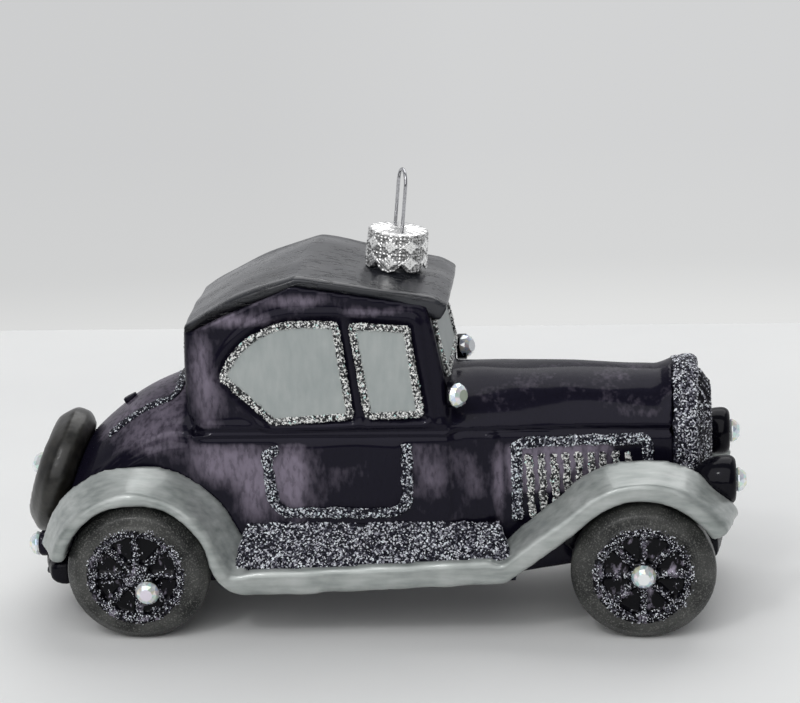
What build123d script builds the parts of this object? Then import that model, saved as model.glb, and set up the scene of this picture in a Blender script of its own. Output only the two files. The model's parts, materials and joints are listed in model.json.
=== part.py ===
from build123d import *
from math import acos, atan2, cos, degrees, hypot, radians, sin
import os

# A blown glass tree ornament in the form of a closed two seat car of about 1930.
# Millimetres. X points forward, Y to the car's left, Z up from the ground.
# The glass is one bubble in reality. It is divided here where its moulded forms
# and its paints meet, and the metal cap with its wire lifts off the neck.

os.makedirs("parts", exist_ok=True)

# Overall sizes
tub_length = 48.2
hood_length = 41.5
tail_length = 32.9
tub_half_width = 17.0
wheel_diameter = 26.0

# Stations along the car
cowl_joint_x = 14.1
tail_joint_x = cowl_joint_x - tub_length
hood_front_x = cowl_joint_x + hood_length
front_axle_x = hood_front_x - 5.7
rear_axle_x = tail_joint_x - 10.4

# Body of glass
glass_wall = 1.2
belt_z = 38.0
tub_floor_z = 8.6
floor_corner = 2.5
chassis_z = 14.0
cowl_rib_x = cowl_joint_x + 8.0
cowl_rib_width = 1.4
moulding_height = 0.4
flare_length = 7.5
flare_rise = 1.5
flare_inset = 0.3

# Cabin
cabin_half_width = tub_half_width - 0.7
cabin_top_half_width = cabin_half_width - 0.9
cabin_top_z = 70.0
cabin_rear_corner = 4.0
cabin_front_corner = 1.5
screen_foot_z = 46.0
screen_lean = 13.0
pane_thickness = 0.45

# Roof
roof_peak_x = tail_joint_x + 19.6
roof_peak_z = 66.3
roof_rear_z = 57.3
roof_front_z = 61.8
roof_edge_drop = 1.7
roof_crown = 0.4

# Doors, their glitter lines, and the same line round the louvres and the rear lid
door_rear_x = tail_joint_x + 16.3
door_front_x = cowl_joint_x - 9.1
door_low_z = 24.2
door_top_z = 36.2
door_lean = 1.4
door_corner = 2.5
door_emboss = 0.35
door_margin = 0.5
trim_width = 1.5
trim_height = 0.4

# Louvres in the side of the hood
louvre_panel_x = (cowl_joint_x + 11.7, hood_front_x - 4.0)
louvre_panel_z = (21.0, 36.6)
louvre_corner = 2.2
louvre_count = 9
louvre_first_x = cowl_joint_x + 14.7
louvre_step = 2.3
louvre_width = 1.0
louvre_top_z = 33.4
louvre_lean = 3.0

# Lid and handle on the tail
lid_front_x = tail_joint_x - 2.6
lid_rear_x = tail_joint_x - 17.0
lid_half_width = 9.6
lid_corner = 3.0
lid_low_z = 30.0
handle_x = tail_joint_x - 12.6
handle_z = 41.3
handle_slope = 29.0
handle_length = 4.6
handle_width = 2.0
handle_height = 0.8

# Wheels
wheel_width = 7.2
tyre_shoulder = 1.8
tyre_wall = 3.7
rim_ring_width = 1.5
rim_height = 0.5
disc_recess = 0.7
spoke_count = 8
spoke_width = 1.0
spoke_root = 0.2
hub_radius = 2.6

# Spare wheel on the tail
spare_diameter = 25.0
spare_width = 7.0
spare_rounding = 2.6
spare_x = tail_joint_x - 28.27
spare_z = 25.9
spare_tilt = 19.0

# Fenders and running boards
fender_overhang = 0.8
crest_standoff = 0.4
board_low_z = (9.3, 11.3)
board_ridge_z = (12.6, 15.0)
board_crest_z = 21.0
board_lip = 1.4
rim_width = 1.7
rim_edge = 0.4
rim_top = 1.2

# Lobes of glass between the wheels
housing_low_z = 6.8
housing_drop = 1.5

# Front end
radiator_depth = 4.7
radiator_shoulder_z = 39.0
radiator_crown_z = 47.5
radiator_rounding = 1.2
grille_margin = 2.2
grille_depth = 2.5
grille_proud = 2.2
grille_taper = 3.0
grille_bar_count = 7
grille_bar_step = 2.2
grille_bar_width = 0.8
grille_bar_height = 0.4

# Lamps
headlamp_z = 28.3
headlamp_radius = 4.6
headlamp_length = 8.5
headlamp_tip = 1.0
headlamp_rim = 1.4
headlamp_standoff = 3.0
cowl_lamp_z = 45.6
cowl_lamp_depth = 1.9
cowl_lamp_radius = 2.5
tail_lamp_z = 15.9
tail_lamp_radius = 2.6
tail_lamp_length = 6.0

# Bumpers
bumper_side_gap = 0.2
bumper_sweep = 1.6
bumper_rounding = 1.1
front_bumper_depth = 3.8
front_bumper_z = (13.6, 17.8)
rear_bumper_depth = 3.0
rear_bumper_z = (8.8, 12.6)

# Cut crystals
crystal_sides = 12
crystal_radius = 2.3
crystal_girdle = 0.9
crystal_table_radius = 1.2
crystal_height = 1.9

# Windows, in side view and in front view
window_reach = 3.0
screen_size = (26.0, 10.6, 1.5)
screen_z = 53.3
rear_window_size = (14.0, 6.4, 2.4)
rear_window_z = 52.4

# Cap, neck and wire
cap_x = 4.7
cap_top_z = 73.5
cap_lean = 6.0
cap_radius = 5.95
cap_taper = 0.25
cap_corner = 0.8
cap_skirt_height = 7.4
cap_metal = 0.45
petal_count = 7
petal_radius = 2.9
neck_clearance = 0.65
neck_wall = 1.0
neck_length = 9.0
wire_radius = 0.33
wire_half_span = 2.75
wire_loop_height = 11.2
wire_leg_length = 20.0
wire_turn = 12.0

wheel_radius = wheel_diameter / 2
axle_z = wheel_radius
wheel_face_y = tub_half_width + wheel_width
fender_edge_y = wheel_face_y + fender_overhang
fender_crest_y = tub_half_width + crest_standoff
radiator_half_width = tub_half_width - 3.7
radiator_face_x = hood_front_x + radiator_depth
radiator_section = (radiator_half_width, chassis_z, radiator_shoulder_z, radiator_crown_z)
headlamp_y = radiator_half_width + 1.6
tail_lamp_y = tub_half_width - 3.0
tail_lamp_face_x = tail_joint_x - 30.5
cowl_lamp_y = tub_half_width - 1.0
screen_top_x = cowl_joint_x - (cabin_top_z - screen_foot_z) * sin(radians(screen_lean))
neck_radius = cap_radius - cap_taper - cap_metal - neck_clearance
neck_bore_radius = neck_radius - neck_wall


def save(builder, name):
    """Label a finished piece and write it."""
    builder.part.label = name
    export_step(builder.part, f"parts/{name}.step")


def save_pair(right, name):
    """Write a piece of the right side, and its mirror image on the left."""
    save(right, f"right_{name}")
    with BuildPart() as left:
        mirror(right.part, about=Plane.XZ)
    save(left, f"left_{name}")


def body_outline(x, half_width, floor_z, shoulder_z, crown_z, inset=0.0):
    """A cross section of the body: flat floor, upright sides and an arched top."""
    side = half_width - inset
    shoulder = shoulder_z - inset / 2
    with BuildSketch(Plane.YZ.offset(x)) as outline:
        with BuildLine():
            Polyline(
                (side, shoulder),
                (side, floor_z + inset),
                (-side, floor_z + inset),
                (-side, shoulder),
            )
            ThreePointArc((-side, shoulder), (0, crown_z - inset), (side, shoulder))
        make_face()
        fillet(outline.vertices().group_by(Axis.Y)[0], floor_corner - inset)
    return outline.sketch


# Body sections: columns are x, half width, floor, shoulder and crown.
tail_sections = [
    (tail_joint_x, tub_half_width - 0.1, tub_floor_z, 37.0, 46.0),
    (tail_joint_x - 0.3 * tail_length, tub_half_width - 0.6, tub_floor_z, 34.0, 42.8),
    (tail_joint_x - 0.605 * tail_length, tub_half_width - 2.2, tub_floor_z, 27.0, 35.4),
    (tail_joint_x - tail_length, tub_half_width - 4.6, tub_floor_z, 15.0, 19.0),
]
hood_sections = [
    (cowl_joint_x, tub_half_width - 0.4, tub_floor_z, 38.6, 46.8),
    (cowl_joint_x + 11.9, tub_half_width - 1.8, 9.5, 38.2, 46.8),
    (hood_front_x, tub_half_width - 4.4, chassis_z, 38.0, 45.8),
]

tail_normal = (-cos(radians(spare_tilt)), 0, sin(radians(spare_tilt)))
spare_middle = Plane(origin=(spare_x, 0, spare_z), x_dir=(0, 1, 0), z_dir=tail_normal)
tail_plane = spare_middle.offset(-spare_width / 2)


def body_loft(sections, inset=0.0):
    """The loft through a table of body sections, inside or outside the real surface."""
    with BuildPart() as form:
        loft(sections=[body_outline(*row, inset=inset) for row in sections])
    return form.part


with BuildPart() as tail_cavity:
    add(body_loft(tail_sections, glass_wall))
    split(bisect_by=tail_plane.offset(-glass_wall), keep=Keep.BOTTOM)
    split(bisect_by=Plane.YZ.offset(tail_joint_x - glass_wall), keep=Keep.BOTTOM)

with BuildPart() as hood_cavity:
    add(body_loft(hood_sections, glass_wall))
    split(bisect_by=Plane.YZ.offset(cowl_joint_x + glass_wall), keep=Keep.TOP)
    split(bisect_by=Plane.YZ.offset(hood_front_x - glass_wall), keep=Keep.BOTTOM)


def passage(x):
    """The way through an end wall of the hood or tail, below the belt."""
    half = tub_half_width - 3 * glass_wall
    low = tub_floor_z + 2 * glass_wall
    high = belt_z - 2 * glass_wall
    with BuildSketch(Plane.YZ.offset(x)) as opening:
        with Locations((0, (low + high) / 2)):
            RectangleRounded(2 * half, high - low, floor_corner)
    return opening.sketch


# The tail, cut off flat behind the spare wheel, with a boss for each tail lamp
with BuildPart() as tail_form:
    add(body_loft(tail_sections))
    split(bisect_by=tail_plane, keep=Keep.BOTTOM)

    with BuildSketch(Plane.YZ.offset(tail_lamp_face_x)):
        with Locations((-tail_lamp_y, tail_lamp_z), (tail_lamp_y, tail_lamp_z)):
            Circle(tail_lamp_radius)
    extrude(amount=tail_lamp_length)

with BuildPart() as tail:
    add(tail_form.part)
    add(tail_cavity.part, mode=Mode.SUBTRACT)
    extrude(passage(tail_joint_x), amount=-2 * glass_wall, mode=Mode.SUBTRACT)
save(tail, "tail_body")

# The hood, with a raised rib down each side of the cowl, and a top that sweeps up to
# the radiator
with BuildPart() as hood_form:
    add(body_loft(hood_sections))

front_half_width, front_floor_z, front_shoulder_z, front_crown_z = hood_sections[-1][1:]
flare_section = (front_half_width - flare_inset, front_floor_z + flare_inset, front_shoulder_z)
with BuildPart() as hood_flare:
    loft(
        sections=[
            body_outline(hood_front_x - flare_length, *flare_section, front_crown_z - flare_inset),
            body_outline(hood_front_x - 0.5 * flare_length, *flare_section, front_crown_z),
            body_outline(hood_front_x, *flare_section, front_crown_z + flare_rise),
        ]
    )

with BuildPart() as hood_skin:
    add(body_loft(hood_sections, -moulding_height))
    add(hood_form.part, mode=Mode.SUBTRACT)

with BuildPart() as cowl_rib:
    with BuildSketch(Plane.XY.offset(board_crest_z + moulding_height)):
        with Locations((cowl_rib_x, 0)):
            Rectangle(cowl_rib_width, 3 * tub_half_width)
    extrude(amount=belt_z - board_crest_z - 2 * moulding_height)
    add(hood_skin.part, mode=Mode.INTERSECT)

with BuildPart() as hood:
    add(hood_form.part)
    add(hood_flare.part)
    add(hood_cavity.part, mode=Mode.SUBTRACT)
    extrude(passage(cowl_joint_x), amount=2 * glass_wall, mode=Mode.SUBTRACT)
    add(cowl_rib.part)
save(hood, "hood_body")


def tub_outline(inset):
    """The cross section of the tub under the belt, open at the top when inset."""
    side = tub_half_width - inset
    low = tub_floor_z + inset
    with BuildSketch(Plane.YZ.offset(tail_joint_x)) as outline:
        with BuildLine():
            Polyline((-side, belt_z), (-side, low), (side, low), (side, belt_z), close=True)
        make_face()
        fillet(outline.vertices().group_by(Axis.Y)[0], floor_corner - inset)
    return outline.sketch


def door_panel(margin):
    """The door in side view, grown by a margin on every side but the top."""
    with BuildSketch(Plane.XZ.offset(tub_half_width)) as panel:
        with BuildLine():
            Polyline(
                (door_rear_x - margin, door_top_z),
                (door_rear_x - margin + door_lean, door_low_z - margin),
                (door_front_x + margin, door_low_z - margin),
                (door_front_x + margin, door_top_z),
                close=True,
            )
        make_face()
        fillet(panel.vertices().group_by(Axis.Y)[0], door_corner + margin)
    return panel.sketch


# The tub under the belt, with a door embossed in each side
with BuildPart() as tub_form:
    extrude(tub_outline(0), amount=tub_length)

with BuildPart() as tub:
    add(tub_form.part)
    extrude(tub_outline(glass_wall), amount=tub_length, mode=Mode.SUBTRACT)
    extrude(door_panel(0), amount=door_emboss)
    mirror(about=Plane.XZ)
save(tub, "door_tub")

with BuildPart() as door_trim:
    extrude(door_panel(door_margin + trim_width), amount=trim_height)
    extrude(door_panel(door_margin), amount=trim_height, mode=Mode.SUBTRACT)
save_pair(door_trim, "door_trim")


def lid_outline(margin):
    """The rear lid in plan, grown by a margin on every side but the rear."""
    with BuildSketch(Plane.XY.offset(lid_low_z)) as outline:
        with BuildLine():
            Polyline(
                (lid_rear_x, -lid_half_width - margin),
                (lid_front_x + margin, -lid_half_width - margin),
                (lid_front_x + margin, lid_half_width + margin),
                (lid_rear_x, lid_half_width + margin),
                close=True,
            )
        make_face()
        fillet(outline.vertices().group_by(Axis.X)[-1], lid_corner + margin)
    return outline.sketch


with BuildPart() as lid_trim:
    extrude(lid_outline(0), amount=tub_half_width)
    extrude(lid_outline(-trim_width), amount=tub_half_width, mode=Mode.SUBTRACT)
    add(body_loft(tail_sections, -trim_height), mode=Mode.INTERSECT)
    add(tail_form.part, mode=Mode.SUBTRACT)
save(lid_trim, "lid_trim")

slope = radians(handle_slope)
handle_seat = Plane(
    origin=(handle_x, 0, handle_z), x_dir=(cos(slope), 0, sin(slope)), z_dir=(-sin(slope), 0, cos(slope))
)
with BuildPart() as lid_handle:
    with BuildSketch(handle_seat):
        SlotOverall(handle_length, handle_width)
    extrude(amount=handle_height, both=True)
    add(tail_form.part, mode=Mode.SUBTRACT)
save(lid_handle, "lid_handle")


def cabin_outline(z, half_width, proud):
    """The cabin in plan, with round rear corners."""
    with BuildSketch(Plane.XY.offset(z)) as outline:
        with BuildLine():
            Polyline(
                (tail_joint_x - proud, -half_width - proud),
                (cowl_joint_x + proud, -half_width - proud),
                (cowl_joint_x + proud, half_width + proud),
                (tail_joint_x - proud, half_width + proud),
                close=True,
            )
        make_face()
        fillet(outline.vertices().group_by(Axis.X)[0], cabin_rear_corner + proud)
        fillet(outline.vertices().group_by(Axis.X)[-1], cabin_front_corner + proud)
    return outline.sketch


def side_view_solid(points):
    """A prism right across the car with the side view given by its corners."""
    with BuildSketch(Plane.XZ.offset(-2 * tub_half_width)) as side:
        with BuildLine():
            Polyline(*points, close=True)
        make_face()
    with BuildPart() as solid:
        extrude(side.sketch, amount=4 * tub_half_width)
    return solid.part


def under_roof():
    """The space under the two slopes of the roof's lower face."""
    reach = tub_length
    rear_rise = (roof_peak_z - roof_rear_z) / (roof_peak_x - tail_joint_x)
    front_fall = (roof_peak_z - roof_front_z) / (cowl_joint_x - roof_peak_x)
    return side_view_solid(
        [
            (roof_peak_x - reach, 0),
            (roof_peak_x - reach, roof_peak_z - reach * rear_rise),
            (roof_peak_x, roof_peak_z),
            (roof_peak_x + reach, roof_peak_z - reach * front_fall),
            (roof_peak_x + reach, 0),
        ]
    )


def ahead_of_screen(proud):
    """The wedge of air in front of the leaning windscreen."""
    return side_view_solid(
        [
            (cowl_joint_x + proud, screen_foot_z),
            (screen_top_x + proud, cabin_top_z),
            (hood_front_x, cabin_top_z),
            (hood_front_x, screen_foot_z),
        ]
    )


def cabin_form(proud):
    """The outside of the cabin, grown by a small thickness all round."""
    with BuildPart() as form:
        loft(
            sections=[
                cabin_outline(belt_z, cabin_half_width, proud),
                cabin_outline(cabin_top_z, cabin_top_half_width, proud),
            ]
        )
        add(under_roof(), mode=Mode.INTERSECT)
        add(ahead_of_screen(proud), mode=Mode.SUBTRACT)
    return form.part


cabin_outside = cabin_form(0)
with BuildPart() as cabin:
    add(cabin_outside)
    add(cabin_form(-glass_wall), mode=Mode.SUBTRACT)
save(cabin, "cabin")


# The roof: columns are x, half width, height of the top and width of its round edge.
roof_rear_sections = [
    (tail_joint_x - 0.7, cabin_top_half_width - 0.4, 59.0, 2.0),
    (tail_joint_x + 7.7, cabin_top_half_width + 0.8, 64.0, 3.0),
    (roof_peak_x, cabin_top_half_width + 1.1, 68.5, 3.0),
]
roof_front_sections = [
    (roof_peak_x, cabin_top_half_width + 1.1, 68.5, 3.0),
    (cowl_joint_x - 14.1, cabin_top_half_width + 1.0, 66.4, 2.6),
    (cowl_joint_x + 0.4, cabin_top_half_width + 0.8, 63.8, 2.4),
]


def roof_outline(x, side, top, edge_width):
    """A cross section of the roof: nearly flat on top with round side edges."""
    flat = side - edge_width
    edge = top - roof_edge_drop
    low = top - 3 * roof_edge_drop
    bend_y = flat + edge_width * sin(radians(45))
    bend_z = edge + (roof_edge_drop - roof_crown) * cos(radians(45))
    with BuildSketch(Plane.YZ.offset(x)) as outline:
        with BuildLine():
            ThreePointArc((flat, top - roof_crown), (bend_y, bend_z), (side, edge))
            Polyline((side, edge), (side, low), (-side, low), (-side, edge))
            ThreePointArc((-side, edge), (-bend_y, bend_z), (-flat, top - roof_crown))
            ThreePointArc((-flat, top - roof_crown), (0, top), (flat, top - roof_crown))
        make_face()
    return outline.sketch


cap_forward = (cos(radians(cap_lean)), 0, -sin(radians(cap_lean)))
cap_up = (sin(radians(cap_lean)), 0, cos(radians(cap_lean)))
cap_plane = Plane(origin=(cap_x, 0, cap_top_z), x_dir=cap_forward, z_dir=cap_up)
neck_plane = cap_plane.offset(-cap_metal)

# Two smooth slopes meet in a crease across the roof, and the neck stands on the front one.
with BuildPart() as roof:
    loft(sections=[roof_outline(*row) for row in roof_rear_sections])
    loft(sections=[roof_outline(*row) for row in roof_front_sections])
    with BuildSketch(neck_plane):
        Circle(neck_radius)
    extrude(amount=-neck_length)
    add(under_roof(), mode=Mode.SUBTRACT)
    with BuildSketch(neck_plane):
        Circle(neck_bore_radius)
    extrude(amount=-2 * neck_length, mode=Mode.SUBTRACT)
save(roof, "roof")


# Fenders: each is a band bent round its wheel, then run out to the running board.
# Its lower edge, its ridge and its crest by the body each have a foot on the board,
# at a distance from the board's end and a height, and a radius of the bend.
board_front_x = front_axle_x - wheel_radius - 14.9
board_rear_x = rear_axle_x + wheel_radius + 7.5

front_fender = {
    "axle": front_axle_x,
    "facing": 1,
    "tip_angle": 29.0,
    "joint": board_front_x,
    "low": (board_front_x + 2.0, board_low_z[1], wheel_radius + 1.5),
    "ridge": (board_front_x + 2.0, board_ridge_z[1], wheel_radius + 4.4),
    "crest": (board_front_x + 2.5, 17.2, wheel_radius + 7.0),
}
rear_fender = {
    "axle": rear_axle_x,
    "facing": -1,
    "tip_angle": 12.0,
    "joint": board_rear_x,
    "low": (board_rear_x - 5.0, board_low_z[0], wheel_radius + 1.2),
    "ridge": (board_rear_x - 3.2, board_ridge_z[0], wheel_radius + 2.8),
    "crest": (board_rear_x - 1.0, 17.6, wheel_radius + 6.4),
}


def tangent_angle(foot_x, foot_z, radius, axle_x, facing):
    """The direction from the axle at which a line from the foot meets the bend."""
    reach_x = (foot_x - axle_x) * facing
    reach_z = foot_z - axle_z
    return degrees(atan2(reach_z, reach_x) - acos(radius / hypot(reach_x, reach_z)))


def on_bend(radius, angle, axle_x, facing):
    """A point of the bend, at an angle over the axle from the fender's tip side."""
    return (
        axle_x + facing * radius * cos(radians(angle)),
        axle_z + radius * sin(radians(angle)),
    )


def fender_side(fender, upper, y):
    """The side view of a fender between its lower edge and an upper line."""
    axle_x = fender["axle"]
    facing = fender["facing"]
    joint_x = fender["joint"]
    tip = fender["tip_angle"]
    low_x, low_z, low_radius = fender["low"]
    top_x, top_z, top_radius = fender[upper]
    low_turn = tangent_angle(low_x, low_z, low_radius, axle_x, facing) % 360
    top_turn = tangent_angle(top_x, top_z, top_radius, axle_x, facing) % 360
    low_bend = on_bend(low_radius, low_turn, axle_x, facing)
    top_bend = on_bend(top_radius, top_turn, axle_x, facing)
    low_middle = on_bend(low_radius, (low_turn + tip) / 2, axle_x, facing)
    top_middle = on_bend(top_radius, (top_turn + tip) / 2, axle_x, facing)
    low_tip = on_bend(low_radius, tip, axle_x, facing)
    top_tip = on_bend(top_radius, tip, axle_x, facing)
    with BuildSketch(Plane.XZ.offset(y)) as side:
        with BuildLine():
            Line(low_tip, top_tip)
            ThreePointArc(top_tip, top_middle, top_bend)
            Polyline(top_bend, (top_x, top_z), (joint_x, top_z))
            Line((joint_x, top_z), (joint_x, low_z))
            Polyline((joint_x, low_z), (low_x, low_z), low_bend)
            ThreePointArc(low_bend, low_middle, low_tip)
        make_face()
    return side.sketch


def fender_solid(fender):
    """A fender from its vertical outer rim up the slope to the body side."""
    rim_side = fender_side(fender, "ridge", fender_edge_y)
    body_side = fender_side(fender, "crest", fender_crest_y)
    with BuildPart() as solid:
        loft(sections=[rim_side, body_side], ruled=True)
        extrude(body_side, amount=-crest_standoff)
        add(tub_form.part, mode=Mode.SUBTRACT)
        add(tail_form.part, mode=Mode.SUBTRACT)
    return solid


front_fender_solid = fender_solid(front_fender)
save_pair(front_fender_solid, "front_fender")
save_pair(fender_solid(rear_fender), "rear_fender")


# The black lobes of glass between the wheels, which carry wheels and fenders
front_housing_x = (front_axle_x - wheel_radius - 3.9, front_axle_x + wheel_radius - 1.4)
rear_housing_x = (rear_axle_x - wheel_radius, rear_axle_x + wheel_radius + 1.0)

with BuildPart() as radiator_form:
    extrude(body_outline(hood_front_x, *radiator_section), amount=radiator_depth)


def housing(fender, ends):
    """The lobe behind a pair of wheels, a flat floored arch across the car."""
    low_x, high_x = ends
    radius = fender["crest"][2] - housing_drop
    with BuildPart() as lobe:
        with BuildSketch(Plane.XZ.offset(-tub_half_width)):
            with Locations((fender["axle"], axle_z)):
                Circle(radius)
            with Locations((low_x, housing_low_z)):
                Rectangle(
                    high_x - low_x, belt_z, align=(Align.MIN, Align.MIN), mode=Mode.INTERSECT
                )
        extrude(amount=2 * tub_half_width)
        for form in (tail_form, tub_form, hood_form, radiator_form):
            add(form.part, mode=Mode.SUBTRACT)
    return lobe


front_housing = housing(front_fender, front_housing_x)
rear_housing = housing(rear_fender, rear_housing_x)
save(front_housing, "front_wheel_housing")
save(rear_housing, "rear_wheel_housing")


# Louvres: a glitter line round the top of the panel, and a row of leaning bars.
def louvre_frame(margin):
    """The louvre panel in side view, grown by a margin on every side but the foot."""
    rear_x, front_x = louvre_panel_x
    foot_z, top_z = louvre_panel_z
    with BuildSketch(Plane.XZ.offset(tub_half_width)) as frame:
        with BuildLine():
            Polyline(
                (rear_x - margin, foot_z),
                (rear_x - margin, top_z + margin),
                (front_x + margin, top_z + margin),
                (front_x + margin, foot_z),
                close=True,
            )
        make_face()
        fillet(frame.vertices().group_by(Axis.Y)[-1], louvre_corner + margin)
    return frame.sketch


with BuildPart() as louvres:
    extrude(louvre_frame(0), amount=-tub_half_width)
    extrude(louvre_frame(-trim_width), amount=-tub_half_width, mode=Mode.SUBTRACT)
    with BuildSketch(Plane.XZ.offset(tub_half_width)):
        for number in range(louvre_count):
            with Locations((louvre_first_x + number * louvre_step, louvre_top_z)):
                Rectangle(
                    louvre_width,
                    louvre_top_z - louvre_panel_z[0],
                    rotation=louvre_lean,
                    align=(Align.CENTER, Align.MAX),
                )
    extrude(amount=-tub_half_width)
    add(hood_skin.part, mode=Mode.INTERSECT)
    add(front_housing.part, mode=Mode.SUBTRACT)
save_pair(louvres, "louvres")


# Running boards: a steep glittered slope behind a silver rim.
def board_section(x, low_z, ridge_z):
    """The slope of a running board, from the rim up to the side of the tub."""
    rim_y = fender_edge_y - rim_width
    with BuildSketch(Plane.YZ.offset(x)) as section:
        with BuildLine():
            Polyline(
                (-tub_half_width, low_z),
                (-rim_y, low_z),
                (-rim_y, ridge_z + board_lip),
                (-tub_half_width, board_crest_z),
                close=True,
            )
        make_face()
    return section.sketch


def rim_section(x, low_z, ridge_z):
    """The rim along the outer edge of a running board, level with the fenders."""
    rim_y = fender_edge_y - rim_width
    with BuildSketch(Plane.YZ.offset(x)) as section:
        with BuildLine():
            Polyline((-rim_y, ridge_z + rim_top), (-rim_y, low_z), (-fender_edge_y, low_z))
            Line((-fender_edge_y, low_z), (-fender_edge_y, ridge_z - rim_edge))
            ThreePointArc(
                (-fender_edge_y, ridge_z - rim_edge),
                (-fender_edge_y + rim_edge, ridge_z + rim_top / 2),
                (-rim_y, ridge_z + rim_top),
            )
        make_face()
    return section.sketch


board_ends = [
    (board_rear_x, board_low_z[0], board_ridge_z[0]),
    (board_front_x, board_low_z[1], board_ridge_z[1]),
]
with BuildPart() as board:
    loft(sections=[board_section(*end) for end in board_ends], ruled=True)
    add(tub_form.part, mode=Mode.SUBTRACT)
    add(hood_form.part, mode=Mode.SUBTRACT)
save_pair(board, "running_board")

with BuildPart() as rim:
    loft(sections=[rim_section(*end) for end in board_ends], ruled=True)
save_pair(rim, "board_rim")


def side_plane(seat):
    """The plane through a seat's axis, in which a turned piece is drawn."""
    return Plane(origin=seat.origin, x_dir=seat.x_dir, z_dir=-seat.y_dir)


def turn(seat):
    """The axis of a turned piece."""
    return Axis(seat.origin, seat.z_dir)


def wheel(seat, radius, width, rounding):
    """A moulded wheel: tyre, raised rim ring, sunk disc with spokes, and a hub."""
    disc_z = width - disc_recess
    rim_outer = radius - tyre_wall
    rim_inner = rim_outer - rim_ring_width
    with BuildPart() as solid:
        with BuildSketch(side_plane(seat)) as half:
            with BuildLine():
                Polyline(
                    (0, 0),
                    (radius - tyre_shoulder, 0),
                    (radius, tyre_shoulder),
                    (radius, width - rounding),
                    (radius - rounding, width),
                    (rim_outer, width),
                    (rim_outer, width + rim_height),
                    (rim_inner, width + rim_height),
                    (rim_inner, disc_z),
                    (hub_radius, disc_z),
                    (hub_radius, width + rim_height),
                    (0, width + rim_height),
                    close=True,
                )
            make_face()
        revolve(axis=turn(seat))
        with BuildSketch(seat.offset(disc_z)):
            with PolarLocations((hub_radius + rim_inner) / 2, spoke_count):
                Rectangle(rim_inner - hub_radius + 2 * spoke_root, spoke_width)
        extrude(amount=disc_recess)
    return solid


def crystal(seat):
    """A cut crystal glued on its flat back, with a many sided girdle and a table."""
    with BuildPart() as stone:
        with BuildSketch(seat):
            RegularPolygon(crystal_radius, crystal_sides)
        extrude(amount=crystal_girdle)
        with BuildSketch(seat.offset(crystal_girdle)):
            RegularPolygon(crystal_radius, crystal_sides)
        with BuildSketch(seat.offset(crystal_height)):
            RegularPolygon(crystal_table_radius, crystal_sides)
        loft(ruled=True)
    return stone


def facing_out(x, y, z):
    """A seat on the right side of the car that looks away from it."""
    return Plane(origin=(x, -y, z), x_dir=(1, 0, 0), z_dir=(0, -1, 0))


def facing_along(x, y, z, direction):
    """A seat on the right side that looks forward or back."""
    return Plane(origin=(x, -y, z), x_dir=(0, 1, 0), z_dir=(direction, 0, 0))


for axle_x, end in ((front_axle_x, "front"), (rear_axle_x, "rear")):
    wheel_seat = facing_out(axle_x, tub_half_width, axle_z)
    save_pair(wheel(wheel_seat, wheel_radius, wheel_width, tyre_shoulder), f"{end}_wheel")
    save_pair(crystal(wheel_seat.offset(wheel_width + rim_height)), f"{end}_hub_crystal")

with BuildPart() as spare:
    add(wheel(tail_plane, spare_diameter / 2, spare_width, spare_rounding).part)
    for form in (tail_form, rear_housing):
        add(form.part, mode=Mode.SUBTRACT)
save(spare, "spare_wheel")
save(crystal(tail_plane.offset(spare_width + rim_height)), "spare_crystal")


def grille_outline(x, margin):
    """The grille in front view, inside the radiator by a margin."""
    side = radiator_half_width - margin
    low = chassis_z + margin
    shoulder = radiator_shoulder_z - margin / 2
    with BuildSketch(Plane.YZ.offset(x)) as outline:
        with BuildLine():
            Polyline((side, shoulder), (side, low), (-side, low), (-side, shoulder))
            ThreePointArc((-side, shoulder), (0, radiator_crown_z - margin), (side, shoulder))
        make_face()
    return outline.sketch


def grille_dome(proud):
    """The swelling face of the grille, grown forward by the height of its bars."""
    with BuildPart() as dome:
        loft(
            sections=[
                grille_outline(radiator_face_x + proud, grille_margin),
                grille_outline(radiator_face_x + proud + grille_proud, grille_margin + grille_taper),
            ],
            ruled=True,
        )
        extrude(grille_outline(radiator_face_x - grille_depth, grille_margin), amount=grille_depth + proud)
    return dome.part


with BuildPart() as grille_bars:
    with BuildSketch(Plane.XY.offset(chassis_z)):
        for number in range(grille_bar_count):
            bar_y = (number - (grille_bar_count - 1) / 2) * grille_bar_step
            with Locations((radiator_face_x, bar_y)):
                Rectangle(2 * grille_depth + 2 * grille_proud, grille_bar_width)
    extrude(amount=belt_z)
    add(grille_dome(grille_bar_height), mode=Mode.INTERSECT)

with BuildPart() as grille:
    add(grille_dome(0))
    add(grille_bars.part)
    add(front_housing.part, mode=Mode.SUBTRACT)
save(grille, "grille")

with BuildPart() as radiator:
    add(radiator_form.part)
    fillet(radiator.faces().sort_by(Axis.X)[-1].edges(), radiator_rounding)
    extrude(
        grille_outline(radiator_face_x - grille_depth, grille_margin),
        amount=grille_depth,
        mode=Mode.SUBTRACT,
    )
save(radiator, "radiator_surround")

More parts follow.
